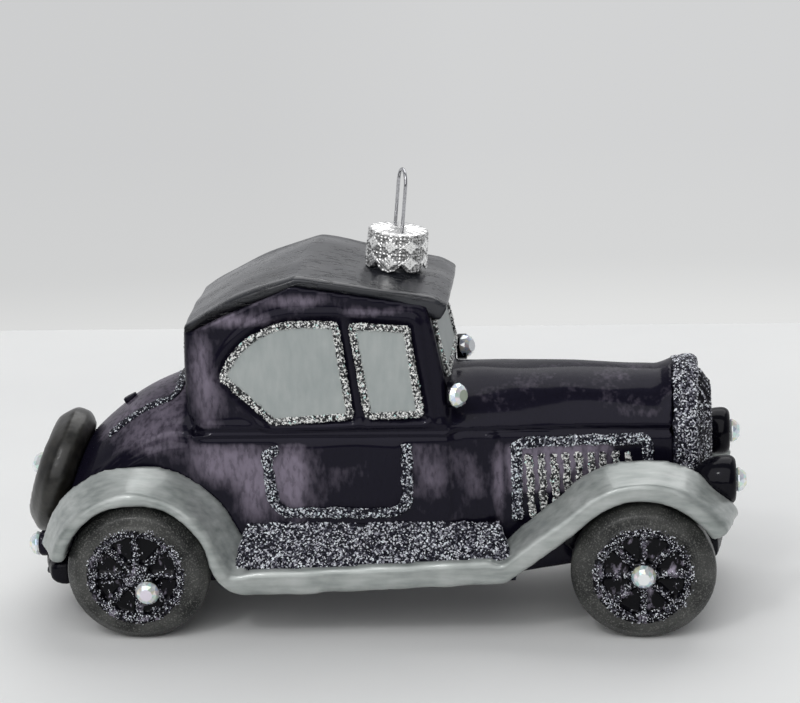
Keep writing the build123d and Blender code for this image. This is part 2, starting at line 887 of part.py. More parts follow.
# Headlamps, with their backs let into the fenders
headlamp_seat = facing_along(hood_front_x + headlamp_standoff, headlamp_y, headlamp_z, 1)
with BuildPart() as headlamp:
    with BuildSketch(side_plane(headlamp_seat)):
        with BuildLine():
            rim_start = headlamp_length - headlamp_rim
            Line((0, 0), (headlamp_tip, 0))
            rim_bend = headlamp_rim * (1 - cos(radians(45)))
            face_radius = headlamp_radius - headlamp_rim
            ThreePointArc(
                (headlamp_tip, 0),
                (0.8 * headlamp_radius, 0.35 * headlamp_length),
                (headlamp_radius, rim_start),
            )
            ThreePointArc(
                (headlamp_radius, rim_start),
                (headlamp_radius - rim_bend, headlamp_length - rim_bend),
                (face_radius, headlamp_length),
            )
            Polyline((face_radius, headlamp_length), (0, headlamp_length), (0, 0))
        make_face()
    revolve(axis=turn(headlamp_seat))
    for form in (front_housing, radiator_form, grille, front_fender_solid):
        add(form.part, mode=Mode.SUBTRACT)
save_pair(headlamp, "headlamp")
save_pair(crystal(headlamp_seat.offset(headlamp_length)), "headlamp_crystal")

cowl_lamp_seat = facing_along(cowl_joint_x, cowl_lamp_y, cowl_lamp_z, 1)
with BuildPart() as cowl_lamp:
    with BuildSketch(cowl_lamp_seat):
        Circle(cowl_lamp_radius)
    extrude(amount=cowl_lamp_depth)
    add(hood_form.part, mode=Mode.SUBTRACT)
save_pair(cowl_lamp, "cowl_lamp")
save_pair(crystal(cowl_lamp_seat.offset(cowl_lamp_depth)), "cowl_lamp_crystal")

tail_lamp_seat = facing_along(tail_lamp_face_x, tail_lamp_y, tail_lamp_z, -1)
save_pair(crystal(tail_lamp_seat), "tail_lamp_crystal")


def bumper(face_x, depth, heights, facing):
    """A bumper bar whose ends fall back from its middle."""
    low_z, high_z = heights
    half_length = tub_half_width - bumper_side_gap
    outer = face_x + facing * depth
    end = outer - facing * bumper_sweep
    with BuildPart() as bar:
        with BuildSketch(Plane.XY.offset(low_z)):
            with BuildLine():
                Polyline(
                    (end, -half_length),
                    (face_x, -half_length),
                    (face_x, half_length),
                    (end, half_length),
                )
                ThreePointArc((end, half_length), (outer, 0), (end, -half_length))
            make_face()
        extrude(amount=high_z - low_z)
        fillet(bar.edges().filter_by(GeomType.CIRCLE), bumper_rounding)
        for form in (tail_form, spare, grille):
            add(form.part, mode=Mode.SUBTRACT)
    return bar


rear_bumper_face_x = tail_joint_x - 28.3
save(bumper(front_housing_x[1], front_bumper_depth, front_bumper_z, 1), "front_bumper")
save(bumper(rear_bumper_face_x, rear_bumper_depth, rear_bumper_z, -1), "rear_bumper")


# Windows: silver fields of paint, drawn in side view and laid on the cabin walls.
def pane(outline, reach):
    """A thin window that lies on the outside of the cabin."""
    with BuildPart() as glass:
        extrude(outline, amount=reach)
        add(cabin_form(pane_thickness), mode=Mode.INTERSECT)
        add(cabin_outside, mode=Mode.SUBTRACT)
    return glass.part


with BuildSketch(Plane.XZ.offset(cabin_half_width - window_reach)) as quarter_window:
    with BuildLine():
        arc_rear = (tail_joint_x + 6.1, 49.2)
        arc_middle = (tail_joint_x + 11.2, 56.2)
        arc_top = (tail_joint_x + 20.6, 59.6)
        top_front = (cowl_joint_x - 20.1, 59.5)
        low_front = (cowl_joint_x - 17.7, 41.3)
        low_rear = (tail_joint_x + 15.5, 40.3)
        ThreePointArc(arc_rear, arc_middle, arc_top)
        Polyline(arc_top, top_front, low_front, low_rear, arc_rear)
    make_face()

with BuildSketch(Plane.XZ.offset(cabin_half_width - window_reach)) as door_window:
    with BuildLine():
        Polyline(
            (cowl_joint_x - 17.7, 59.2),
            (cowl_joint_x - 6.9, 58.5),
            (cowl_joint_x - 4.7, 41.6),
            (cowl_joint_x - 15.1, 41.3),
            close=True,
        )
    make_face()

with BuildPart() as side_windows:
    add(pane(quarter_window.sketch, 2 * window_reach))
    add(pane(door_window.sketch, 2 * window_reach))
save_pair(side_windows, "windows")

screen_reach = cowl_joint_x - screen_top_x + window_reach
with BuildSketch(Plane.YZ.offset(screen_top_x - window_reach)) as screen_outline:
    with Locations((0, screen_z)):
        RectangleRounded(*screen_size)
with BuildPart() as windscreen:
    add(pane(screen_outline.sketch, screen_reach + window_reach))
save(windscreen, "windscreen")

with BuildSketch(Plane.YZ.offset(tail_joint_x - window_reach)) as rear_outline:
    with Locations((0, rear_window_z)):
        RectangleRounded(*rear_window_size)
with BuildPart() as rear_window:
    add(pane(rear_outline.sketch, 2 * window_reach))
save(rear_window, "rear_window")


# Cap: a thin metal cup, with round petals along the lower edge of its flared skirt.
def cap_side(inset):
    """Half of the cap's outer or inner surface in side view, from its top downward."""
    top_radius = cap_radius - cap_taper - inset
    corner = cap_corner - inset
    bend = corner * (1 - cos(radians(45)))
    with BuildSketch(side_plane(cap_plane)) as half:
        with BuildLine():
            Line((0, -inset), (top_radius - corner, -inset))
            ThreePointArc(
                (top_radius - corner, -inset),
                (top_radius - bend, -inset - bend),
                (top_radius, -inset - corner),
            )
            Polyline(
                (top_radius, -inset - corner),
                (cap_radius - inset, -cap_skirt_height),
                (0, -cap_skirt_height),
                (0, -inset),
            )
        make_face()
    return half.sketch


with BuildPart() as petals:
    for number in range(petal_count):
        petal_seat = Plane(
            origin=cap_plane.offset(petal_radius - cap_skirt_height).origin,
            x_dir=cap_plane.z_dir,
            z_dir=cap_plane.x_dir.rotate(turn(cap_plane), 360 * number / petal_count),
        )
        with BuildSketch(petal_seat):
            Circle(petal_radius)
        extrude(amount=2 * cap_radius)

with BuildPart() as between_petals:
    with BuildSketch(cap_plane.offset(-cap_skirt_height)):
        Circle(2 * cap_radius)
    extrude(amount=petal_radius)
    add(petals.part, mode=Mode.SUBTRACT)

wire_x_dir = cap_plane.y_dir.rotate(turn(cap_plane), wire_turn)
wire_plane = Plane(origin=cap_plane.origin, x_dir=wire_x_dir, z_dir=cap_plane.z_dir)

with BuildPart() as cap:
    revolve(cap_side(0), axis=turn(cap_plane))
    revolve(cap_side(cap_metal), axis=turn(cap_plane), mode=Mode.SUBTRACT)
    add(between_petals.part, mode=Mode.SUBTRACT)
    with BuildSketch(wire_plane):
        with Locations((-wire_half_span, 0), (wire_half_span, 0)):
            Circle(wire_radius)
    extrude(amount=-2 * cap_metal, mode=Mode.SUBTRACT)
save(cap, "ornament_cap")

with BuildPart() as wire:
    with BuildLine(side_plane(wire_plane)) as route:
        bend_start = wire_loop_height - wire_half_span
        Line((-wire_half_span, -wire_leg_length), (-wire_half_span, bend_start))
        ThreePointArc(
            (-wire_half_span, bend_start),
            (0, wire_loop_height),
            (wire_half_span, bend_start),
        )
        Line((wire_half_span, bend_start), (wire_half_span, -wire_leg_length))
    with BuildSketch(Plane(origin=route.line @ 0, z_dir=route.line % 0)):
        Circle(wire_radius)
    sweep(path=route.line)
save(wire, "wire_hanger")
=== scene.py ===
# %% [markdown]
# A blown glass car ornament, step by step.
#
# The real thing is one bubble of glass, blown in a mould, silvered inside and then
# painted by hand. Lines of glitter are glued on, cut stones sit on hubs and lamps, and
# a stamped metal cap with a wire loop closes the neck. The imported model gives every
# piece its place and size. This script wraps those pieces in soft glass skins, paints
# them, and grows the glitter.

# %% Load the frame
import json
import math

import bmesh
import bpy
import numpy as np
from mathutils import Matrix, Vector, noise

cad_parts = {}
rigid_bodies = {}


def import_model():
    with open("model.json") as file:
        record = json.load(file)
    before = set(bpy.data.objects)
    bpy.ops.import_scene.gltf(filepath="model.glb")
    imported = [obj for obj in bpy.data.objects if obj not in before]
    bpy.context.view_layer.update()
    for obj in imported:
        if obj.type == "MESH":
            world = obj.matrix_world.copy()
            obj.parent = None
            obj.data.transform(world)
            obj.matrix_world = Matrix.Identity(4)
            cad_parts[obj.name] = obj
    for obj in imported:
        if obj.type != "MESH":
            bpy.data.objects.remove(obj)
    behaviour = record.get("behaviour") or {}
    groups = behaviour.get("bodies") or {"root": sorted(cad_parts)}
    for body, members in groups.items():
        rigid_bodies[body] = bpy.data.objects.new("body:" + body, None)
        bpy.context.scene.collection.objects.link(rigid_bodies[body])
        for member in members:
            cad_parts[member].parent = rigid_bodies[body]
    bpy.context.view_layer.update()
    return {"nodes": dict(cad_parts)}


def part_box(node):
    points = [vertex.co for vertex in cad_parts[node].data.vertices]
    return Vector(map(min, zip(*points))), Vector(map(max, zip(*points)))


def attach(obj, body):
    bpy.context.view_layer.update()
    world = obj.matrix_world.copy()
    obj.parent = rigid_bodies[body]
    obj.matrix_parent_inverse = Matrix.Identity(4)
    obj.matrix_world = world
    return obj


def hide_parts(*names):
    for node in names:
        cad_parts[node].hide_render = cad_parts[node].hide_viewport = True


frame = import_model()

MM = 0.001
MERGE_DISTANCE = 0.002 * MM
nodes = frame["nodes"]
print("pieces in the frame:", len(nodes))

# %% [markdown]
# Small helpers come first. The frame's meshes are loose triangles, so a copy is merged
# before anything else is done to it. Several copies may go into one mesh, because a
# voxel remesh later turns overlapping closed forms into one even skin.


# %% Copies and plain meshes
def add_object(name, mesh):
    """Puts a mesh in the scene as an object at the origin."""
    obj = bpy.data.objects.new(name, mesh)
    bpy.context.scene.collection.objects.link(obj)
    return obj


def merge_doubles(build):
    """Joins points that lie on each other."""
    bmesh.ops.remove_doubles(build, verts=build.verts, dist=MERGE_DISTANCE)


def mesh_from(name, build):
    """Makes an object from a bmesh, with its doubles merged."""
    merge_doubles(build)
    mesh = bpy.data.meshes.new(name)
    build.to_mesh(mesh)
    build.free()
    return add_object(name, mesh)


def pieces_in(*node_names):
    """A bmesh with copies of frame pieces."""
    build = bmesh.new()
    for node_name in node_names:
        build.from_mesh(nodes[node_name].data)
    return build


def copy_of(name, *node_names):
    """One merged mesh made of copies of several frame pieces."""
    return mesh_from(name, pieces_in(*node_names))


def evaluated_mesh(obj):
    """The mesh of an object with its modifiers applied, and the object removed."""
    depsgraph = bpy.context.evaluated_depsgraph_get()
    mesh = bpy.data.meshes.new_from_object(obj.evaluated_get(depsgraph))
    bpy.data.objects.remove(obj)
    return mesh


# %% Points and marks
def rows(collection, key):
    """A property of points or faces as rows of three numbers."""
    flat = np.empty(len(collection) * 3)
    collection.foreach_get(key, flat)
    return flat.reshape(-1, 3)


def set_points(mesh, points):
    """Writes the points back."""
    mesh.vertices.foreach_set("co", points.ravel())
    mesh.update()


def points_of(obj):
    """The points of an object in millimetres, one in a row."""
    return rows(obj.data.vertices, "co") / MM


def place_points(obj, points):
    """Writes points in millimetres back to an object."""
    set_points(obj.data, points * MM)


def set_attribute(obj, name, values):
    """Stores a number on every point of an object."""
    mesh = obj.data
    stored = mesh.attributes.get(name) or mesh.attributes.new(name, "FLOAT", "POINT")
    stored.data.foreach_set("value", np.asarray(values, dtype=np.float32))


# %% Closed parts of a mesh
def islands(build):
    """The separate closed parts of a bmesh, each as a list of its points."""
    unseen = set(build.verts)
    parts = []
    while unseen:
        stack = [unseen.pop()]
        part = []
        while stack:
            vert = stack.pop()
            part.append(vert)
            for edge in vert.link_edges:
                other = edge.other_vert(vert)
                if other in unseen:
                    unseen.discard(other)
                    stack.append(other)
        parts.append(part)
    return sorted(parts, key=len)


# %% [markdown]
# Glass that was blown in a mould has no sharp corner anywhere. A voxel remesh gives
# small even faces, and a few rounds of smoothing round every edge by about the size of
# a voxel. Plain smoothing shrinks a form, so each round is followed by a slightly
# stronger step back, which keeps the size.


# %% Soft glass skins
def smooth_rounds(obj, rounds, forward=0.5, back=-0.52, where=1.0):
    """Evens out the points without shrinking the form. A weight says where."""
    mesh = obj.data
    edges = np.empty(len(mesh.edges) * 2, dtype=np.int64)
    mesh.edges.foreach_get("vertices", edges)
    first, second = edges.reshape(-1, 2).T
    points = rows(mesh.vertices, "co")
    count = len(points)
    degree = np.bincount(first, minlength=count) + np.bincount(second, minlength=count)
    degree = np.maximum(degree, 1)[:, None]
    for turn in range(2 * rounds):
        around = np.empty_like(points)
        for axis in range(3):
            around[:, axis] = np.bincount(first, points[second, axis], count)
            around[:, axis] += np.bincount(second, points[first, axis], count)
        share = forward if turn % 2 == 0 else back
        points += share * where * (around / degree - points)
    set_points(mesh, points)


def keep_largest_part(mesh):
    """Drops closed parts inside the largest one, such as the wall of a hollow."""
    build = bmesh.new()
    build.from_mesh(mesh)
    for part in islands(build)[:-1]:
        bmesh.ops.delete(build, geom=part, context="VERTS")
    build.to_mesh(mesh)
    build.free()


def glass_skin(source, voxel, rounds, only_largest=False):
    """Wraps an object in one even skin and rounds its edges. The source goes."""
    name = source.name
    wrap = source.modifiers.new("wrap", "REMESH")
    wrap.mode = "VOXEL"
    wrap.voxel_size = voxel * MM
    mesh = evaluated_mesh(source)
    if only_largest:
        keep_largest_part(mesh)
    skin = add_object(name, mesh)
    smooth_rounds(skin, rounds)
    mesh.shade_smooth()
    print(name, "faces:", len(mesh.polygons))
    return skin


def skin_of(name, *node_names, voxel, rounds):
    """A soft skin round copies of frame pieces."""
    return glass_skin(copy_of(name, *node_names), voxel, rounds)


def thinned(obj, most_triangles):
    """Merges faces where the surface is flat, down to a number of triangles."""
    name = obj.name
    merge = obj.modifiers.new("merge", "DECIMATE")
    merge.ratio = min(1.0, most_triangles / (2 * len(obj.data.polygons)))
    mesh = evaluated_mesh(obj)
    mesh.shade_smooth()
    print(name, "triangles:", len(mesh.polygons))
    return add_object(name, mesh)


# %% Pushing the surface, soft bumps and soft steps
def push(obj, distance):
    """Moves the points along their normals, by one distance or each by its own."""
    vertices = obj.data.vertices
    each = np.broadcast_to(distance, len(vertices)) * MM
    set_points(obj.data, rows(vertices, "co") + rows(vertices, "normal") * each[:, None])


def noise_at(points, size, seed):
    """Soft noise at each point, with patches of about the given size."""
    away = Vector((seed * 7.3, seed * 3.1, seed * 5.7))
    return np.array([noise.noise(Vector(point) / size + away) for point in points])


def waves(obj, size, height, seed, out=0.0):
    """Moves the surface in and out softly, as hand blown glass and glue do."""
    push(obj, out + height * noise_at(rows(obj.data.vertices, "co"), size * MM, seed))


def hill(value, middle, width):
    """A soft bump of height one round a middle."""
    return np.exp(-(((value - middle) / width) ** 2))


def step(value, low, high):
    """A soft step from nought at low to one at high."""
    t = np.clip((value - low) / (high - low), 0, 1)
    return t * t * (3 - 2 * t)


# %% [markdown]
# Materials. One shader group makes the cloudy mottling that every hand painted zone
# shares. It only puts out masks, and each material mixes its own colours with them.


# %% Node helpers
def socket_in(tree, name, kind, value=None):
    """A named input of a group."""
    socket = tree.interface.new_socket(name, in_out="INPUT", socket_type="NodeSocket" + kind)
    if value is not None:
        socket.default_value = value


def socket_out(tree, name, kind):
    """A named output of a group."""
    tree.interface.new_socket(name, in_out="OUTPUT", socket_type="NodeSocket" + kind)


def feed(tree, socket, value):
    """Links a socket to an input, or writes a plain value there."""
    if isinstance(value, bpy.types.NodeSocket):
        tree.links.new(value, socket)
    else:
        socket.default_value = value


def node(tree, kind, **values):
    """A node with its settings and inputs given by name."""
    made = tree.nodes.new(kind)
    for key, value in values.items():
        name = key.replace("_", " ") if key[0].isupper() else key
        if name in made.inputs.keys():
            feed(tree, made.inputs[name], value)
        else:
            setattr(made, key, value)
    return made


# %% Sums, ramps and marks in a node tree
def math_node(tree, operation, first, second=0.0):
    """A math node fed by sockets or numbers. Returns its output."""
    made = node(tree, "ShaderNodeMath", operation=operation)
    feed(tree, made.inputs[0], first)
    feed(tree, made.inputs[1], second)
    return made.outputs[0]


def ramp(tree, source, *stops):
    """A colour ramp fed by a value. Stops are pairs of a place and a grey or colour."""
    made = tree.nodes.new("ShaderNodeValToRGB")
    elements = made.color_ramp.elements
    while len(elements) < len(stops):
        elements.new(0.5)
    for element, (place, tone) in zip(elements, stops):
        element.position = place
        element.color = (tone, tone, tone, 1) if isinstance(tone, float) else (*tone, 1)
    tree.links.new(source, made.inputs[0])
    return made.outputs[0]


def attribute(tree, name):
    """A number stored on the mesh."""
    return node(tree, "ShaderNodeAttribute", attribute_name=name).outputs["Fac"]


# %% The cloud group
def cloud_group():
    """A group that gives soft patches, and finer streaks that can be stretched."""
    tree = bpy.data.node_groups.new("hand painted clouds", "ShaderNodeTree")
    socket_in(tree, "Patch Size", "Float", 0.012)
    socket_in(tree, "Streak Size", "Float", 0.002)
    socket_in(tree, "Stretch", "Vector", (1, 1, 1))
    socket_in(tree, "Seed", "Float", 0.0)
    socket_out(tree, "Patches", "Float")
    socket_out(tree, "Streaks", "Float")
    given = tree.nodes.new("NodeGroupInput").outputs
    result = tree.nodes.new("NodeGroupOutput")
    place = tree.nodes.new("ShaderNodeTexCoord").outputs["Object"]
    stretched = node(tree, "ShaderNodeVectorMath", operation="MULTIPLY")
    feed(tree, stretched.inputs[0], place)
    feed(tree, stretched.inputs[1], given["Stretch"])
    for name, size, where in (
        ("Patches", "Patch Size", place),
        ("Streaks", "Streak Size", stretched.outputs[0]),
    ):
        cloud = node(tree, "ShaderNodeTexNoise", noise_dimensions="4D", Detail=4.0)
        feed(tree, cloud.inputs["Vector"], where)
        feed(tree, cloud.inputs["Scale"], math_node(tree, "DIVIDE", 1.0, given[size]))
        feed(tree, cloud.inputs["W"], given["Seed"])
        feed(tree, result.inputs[name], cloud.outputs[0])
    return tree


CLOUDS = cloud_group()
print("shared group:", CLOUDS.name)


# %% Materials from a few numbers
def new_material(name, roughness, metallic, coat=0.0, coat_roughness=0.05, base_shine=0.5):
    """A material with a Principled shader. Returns it, its node tree and the shader."""
    material = bpy.data.materials.new(name)
    material.use_nodes = True
    shader = material.node_tree.nodes["Principled BSDF"]
    for name, value in (
        ("Specular IOR Level", base_shine),
        ("Roughness", roughness),
        ("Metallic", metallic),
        ("Coat Weight", coat),
        ("Coat Roughness", coat_roughness),
    ):
        shader.inputs[name].default_value = value
    return material, material.node_tree, shader


def clouds(tree, patch, streak, stretch=(1, 1, 1), seed=0.0):
    """The shared group with its sizes in millimetres. Returns patches and streaks."""
    made = node(tree, "ShaderNodeGroup", node_tree=CLOUDS)
    sizes = {"Patch Size": patch * MM, "Streak Size": streak * MM}
    for name, value in {**sizes, "Stretch": stretch, "Seed": seed}.items():
        made.inputs[name].default_value = value
    return made.outputs["Patches"], made.outputs["Streaks"]


def mix_colours(tree, mask, first, second):
    """Mixes two colours, or sockets that give a colour, by a mask."""
    made = node(tree, "ShaderNodeMix", data_type="RGBA")
    feed(tree, made.inputs[0], mask)
    for socket, colour in ((made.inputs[6], first), (made.inputs[7], second)):
        feed(tree, socket, (*colour, 1) if isinstance(colour, tuple) else colour)
    return made.outputs[2]


def dress(shader, colour, roughness=None, height=None, depth=0.0):
    """Feeds a shader its colour, roughness and a bump of a depth in millimetres."""
    tree = shader.id_data
    feed(tree, shader.inputs["Base Color"], colour)
    if roughness:
        feed(tree, shader.inputs["Roughness"], roughness)
    if height:
        made = node(tree, "ShaderNodeBump", Strength=1.0, Distance=depth * MM, Height=height)
        feed(tree, shader.inputs["Normal"], made.outputs[0])


def scaled_streaks(tree, streaks, middle, swing):
    """Roughness that follows the streaks round a middle value."""
    return ramp(tree, streaks, (0.3, middle - swing), (0.7, middle + swing))


# %% [markdown]
# The body colour is a thin transparent lacquer over silvered glass. It is nearly black
# where the coat is thick and violet grey where it ran thin, so the mesh carries a mark
# for its thin places, broken up with clouds and brush streaks. The same mark holds
# painted light too: lighter spots of painted reflection where the body catches light,
# and painted shade that keeps the grooves and the low parts black. A partly metallic
# base under a thin clear coat gives the look of coloured glass over silver.


# %% Lacquers
def lacquer(name, dark, light, spread, seed, patch=5.5, start=0.52, full=1.02):
    """Transparent colour over silvered glass. Its mark holds thin places and painted light."""
    material, tree, shader = new_material(name, 0.32, 0.3, 0.26, 0.1, 0.0)
    patches, streaks = clouds(tree, patch, 1.1, (1.2, 1.2, 0.5), seed)
    both = math_node(tree, "MULTIPLY", patches, 0.55)
    both = math_node(tree, "ADD", both, math_node(tree, "MULTIPLY", streaks, 0.3))
    # The mark holds thin lacquer, painted reflection spots and painted shade in the grooves.
    thin_and_painted_light = math_node(tree, "MULTIPLY", attribute(tree, "thin_and_painted_light"), spread)
    cover = ramp(tree, math_node(tree, "ADD", both, thin_and_painted_light), (start, 0.0), (full, 1.0))
    strokes = ramp(tree, streaks, (0.3, 0.55), (0.58, 1.0))
    mask = math_node(tree, "MULTIPLY", cover, strokes)
    rough = scaled_streaks(tree, streaks, 0.3, 0.08)
    dress(shader, mix_colours(tree, mask, dark, light), rough, patches, 0.25)
    return material


violet = lacquer("violet lacquer", (0.008, 0.007, 0.015), (0.22, 0.19, 0.245), spread=0.6, seed=1.0)
gloss_black = lacquer(
    "gloss black", (0.004, 0.0038, 0.007), (0.05, 0.045, 0.06), spread=0.1, seed=2.0
)
# The wedges' pale lilac spots are painted glints, small random patches on the black.
wedge_black_glints = lacquer(
    "wedge black with painted glints",
    (0.0025, 0.0025, 0.004),
    (0.3, 0.27, 0.34),
    spread=0.0,
    seed=5.0,
    patch=2.6,
    start=0.47,
    full=0.54,
)


# %% The roof's lacquer
def roof_lacquer():
    """Black gloss with fine wrinkles that run along the car, like leather cloth.
    Painted shade lies under the rolled edge.
    """
    material, tree, shader = new_material("wrinkled black", 0.28, 0.0, 0.5, 0.12, 0.3)
    patches, wrinkles = clouds(tree, 12, 0.85, (0.22, 1, 1), 3.0)
    mask = ramp(tree, patches, (0.35, 0.0), (0.65, 1.0))
    colour = mix_colours(tree, mask, (0.013, 0.014, 0.018), (0.03, 0.032, 0.039))
    # Under the rolled edge the colour is painted shade, near black, with a weaker coat.
    eave_shade_mask = attribute(tree, "eave_shade")
    feed(tree, shader.inputs["Coat Weight"], ramp(tree, eave_shade_mask, (0.0, 0.42), (1.0, 0.05)))
    colour = mix_colours(tree, eave_shade_mask, colour, (0.003, 0.003, 0.005))
    ridges = ramp(tree, wrinkles, (0.36, 0.0), (0.46, 1.0))
    dress(shader, colour, scaled_streaks(tree, wrinkles, 0.3, 0.08), ridges, 0.3)
    return material


wrinkled_black = roof_lacquer()
print("lacquers:", violet.name, gloss_black.name, wedge_black_glints.name, wrinkled_black.name)


# %% [markdown]
# The fenders carry a pearly silver paint, brushed on along their length. The windows
# have a flatter silver grey, and the tyres a dull grey with a little sparkle in it.


# %% Paints
def paint(name, dark, light, roughness, metallic, stretch, depth, coat=0.0):
    """Opaque brushed paint with streaks along one direction."""
    material, tree, shader = new_material(name, roughness, metallic, coat, 0.12)
    patches, streaks = clouds(tree, 7, 1.2, stretch)
    mean = math_node(tree, "MULTIPLY", math_node(tree, "ADD", patches, streaks), 0.5)
    mask = ramp(tree, mean, (0.36, 0.0), (0.64, 1.0))
    rough = scaled_streaks(tree, streaks, roughness, 0.06)
    dress(shader, mix_colours(tree, mask, dark, light), rough, streaks, depth)
    return material


silver = paint(
    "pearly silver",
    (0.25, 0.277, 0.265),
    (0.48, 0.505, 0.49),
    roughness=0.34,
    metallic=0.35,
    stretch=(0.18, 1, 1),
    depth=0.08,
    coat=0.5,
)
pane_silver = paint(
    "window silver",
    (0.33, 0.365, 0.36),
    (0.42, 0.45, 0.44),
    roughness=0.5,
    metallic=0.1,
    stretch=(1, 1, 0.3),
    depth=0.04,
)
spare_grey = paint(
    "spare grey",
    (0.003, 0.003, 0.0025),
    (0.026, 0.024, 0.019),
    roughness=0.34,
    metallic=0.1,
    stretch=(1, 1, 1),
    depth=0.06,
    coat=0.12,
)
print("paints:", silver.name, pane_silver.name, spare_grey.name)


# %% Tyre grey and wire
def tyre_paint():
    """Dull dark grey with fine bright grains."""
    material, tree, shader = new_material("tyre grey", 0.4, 0.2, 0.35, 0.22, 0.15)
    patches, streaks = clouds(tree, 8, 0.3)
    mask = ramp(tree, patches, (0.38, 0.0), (0.62, 1.0))
    grey = mix_colours(tree, mask, (0.012, 0.013, 0.013), (0.07, 0.071, 0.067))
    grains = ramp(tree, streaks, (0.52, 0.0), (0.72, 0.45))
    colour = mix_colours(tree, grains, grey, (0.3, 0.3, 0.28))
    dress(shader, colour, None, streaks, 0.08)
    return material


tyre_grey = tyre_paint()


def streaked(name, dark, light, roughness, metallic, streak, edges, depth, base_shine=0.5):
    """A plain finish with fine streaks from one tone to another, and a bump."""
    material, tree, shader = new_material(name, roughness, metallic, base_shine=base_shine)
    _, streaks = clouds(tree, 3, streak)
    mask = ramp(tree, streaks, (edges[0], 0.0), (edges[1], 1.0))
    dress(shader, mix_colours(tree, mask, dark, light), None, streaks, depth)
    return material


WIRE = (0.35, 0.35, 0.364), (0.5, 0.5, 0.52)
wire_steel = streaked("bright wire", *WIRE, 0.2, 1.0, 0.5, (0.35, 0.6), 0.02)
print("made:", tyre_grey.name, wire_steel.name)


# %% [markdown]
# Glitter is the hardest finish here. Real glitter is small plates of foil, tilted every
# way, so some flash white while their neighbours look black. A picture of that would
# look flat, so each plate is a real piece of geometry. Its colour comes from a random
# number that the plate carries, which keeps the strong contrast under any light: the
# white plates are painted glints and the black ones painted shade.


# %% Glitter materials
def glitter_paint(name, *stops):
    """Foil plates, each toned by the random number on it, from painted shade to painted glint."""
    material, tree, shader = new_material(name, 0.35, 0.15, base_shine=0.25)
    dress(shader, ramp(tree, attribute(tree, "painted_glint"), *stops))
    return material


# Ramps run from painted shade in black to painted glints in white.
dark_flakes = glitter_paint(
    "gunmetal glitter",
    (0.0, (0.003, 0.003, 0.006)),
    (0.36, (0.01, 0.01, 0.02)),
    (0.52, (0.12, 0.12, 0.155)),
    (0.68, (0.4, 0.4, 0.46)),
    (0.84, (0.8, 0.81, 0.86)),
    (1.0, (0.9, 0.96, 1.0)),
)
bright_flakes = glitter_paint(
    "silver glitter",
    (0.0, (0.01, 0.01, 0.012)),
    (0.26, (0.03, 0.032, 0.032)),
    (0.38, (0.45, 0.46, 0.45)),
    (0.52, (0.92, 0.93, 0.92)),
    (0.95, (1.0, 1.0, 0.96)),
    (1.0, (0.6, 0.95, 0.9)),
)
line_flakes = glitter_paint(
    "blue grey glitter",
    (0.0, (0.004, 0.004, 0.008)),
    (0.32, (0.015, 0.016, 0.028)),
    (0.47, (0.17, 0.175, 0.21)),
    (0.64, (0.5, 0.51, 0.57)),
    (0.8, (0.88, 0.9, 0.94)),
    (1.0, (0.85, 0.96, 1.0)),
)


# %% Glue
def glue_paint(name, tone):
    """The dried glue under the plates, full of fine dust."""
    light = tuple(3.2 * part for part in tone)
    return streaked(name, tone, light, 0.4, 0.2, 0.35, (0.4, 0.62), 0.12, base_shine=0.1)


dark_glue = glue_paint("dark glue", (0.006, 0.006, 0.01))
bright_glue = glue_paint("pale glue", (0.03, 0.03, 0.032))
print("glitter:", dark_flakes.name, bright_flakes.name, line_flakes.name)


# %% [markdown]
# One Geometry Nodes tree grows all the glitter. It scatters points on a surface where
# that surface carries a mark, puts a tiny plate on each, tilts it at random and stores
# a random number on it. The plates then become real mesh, together with the surface
# they lie on, and only they get the foil.


# %% The glitter tree
LEAST_FLASH = 0.01


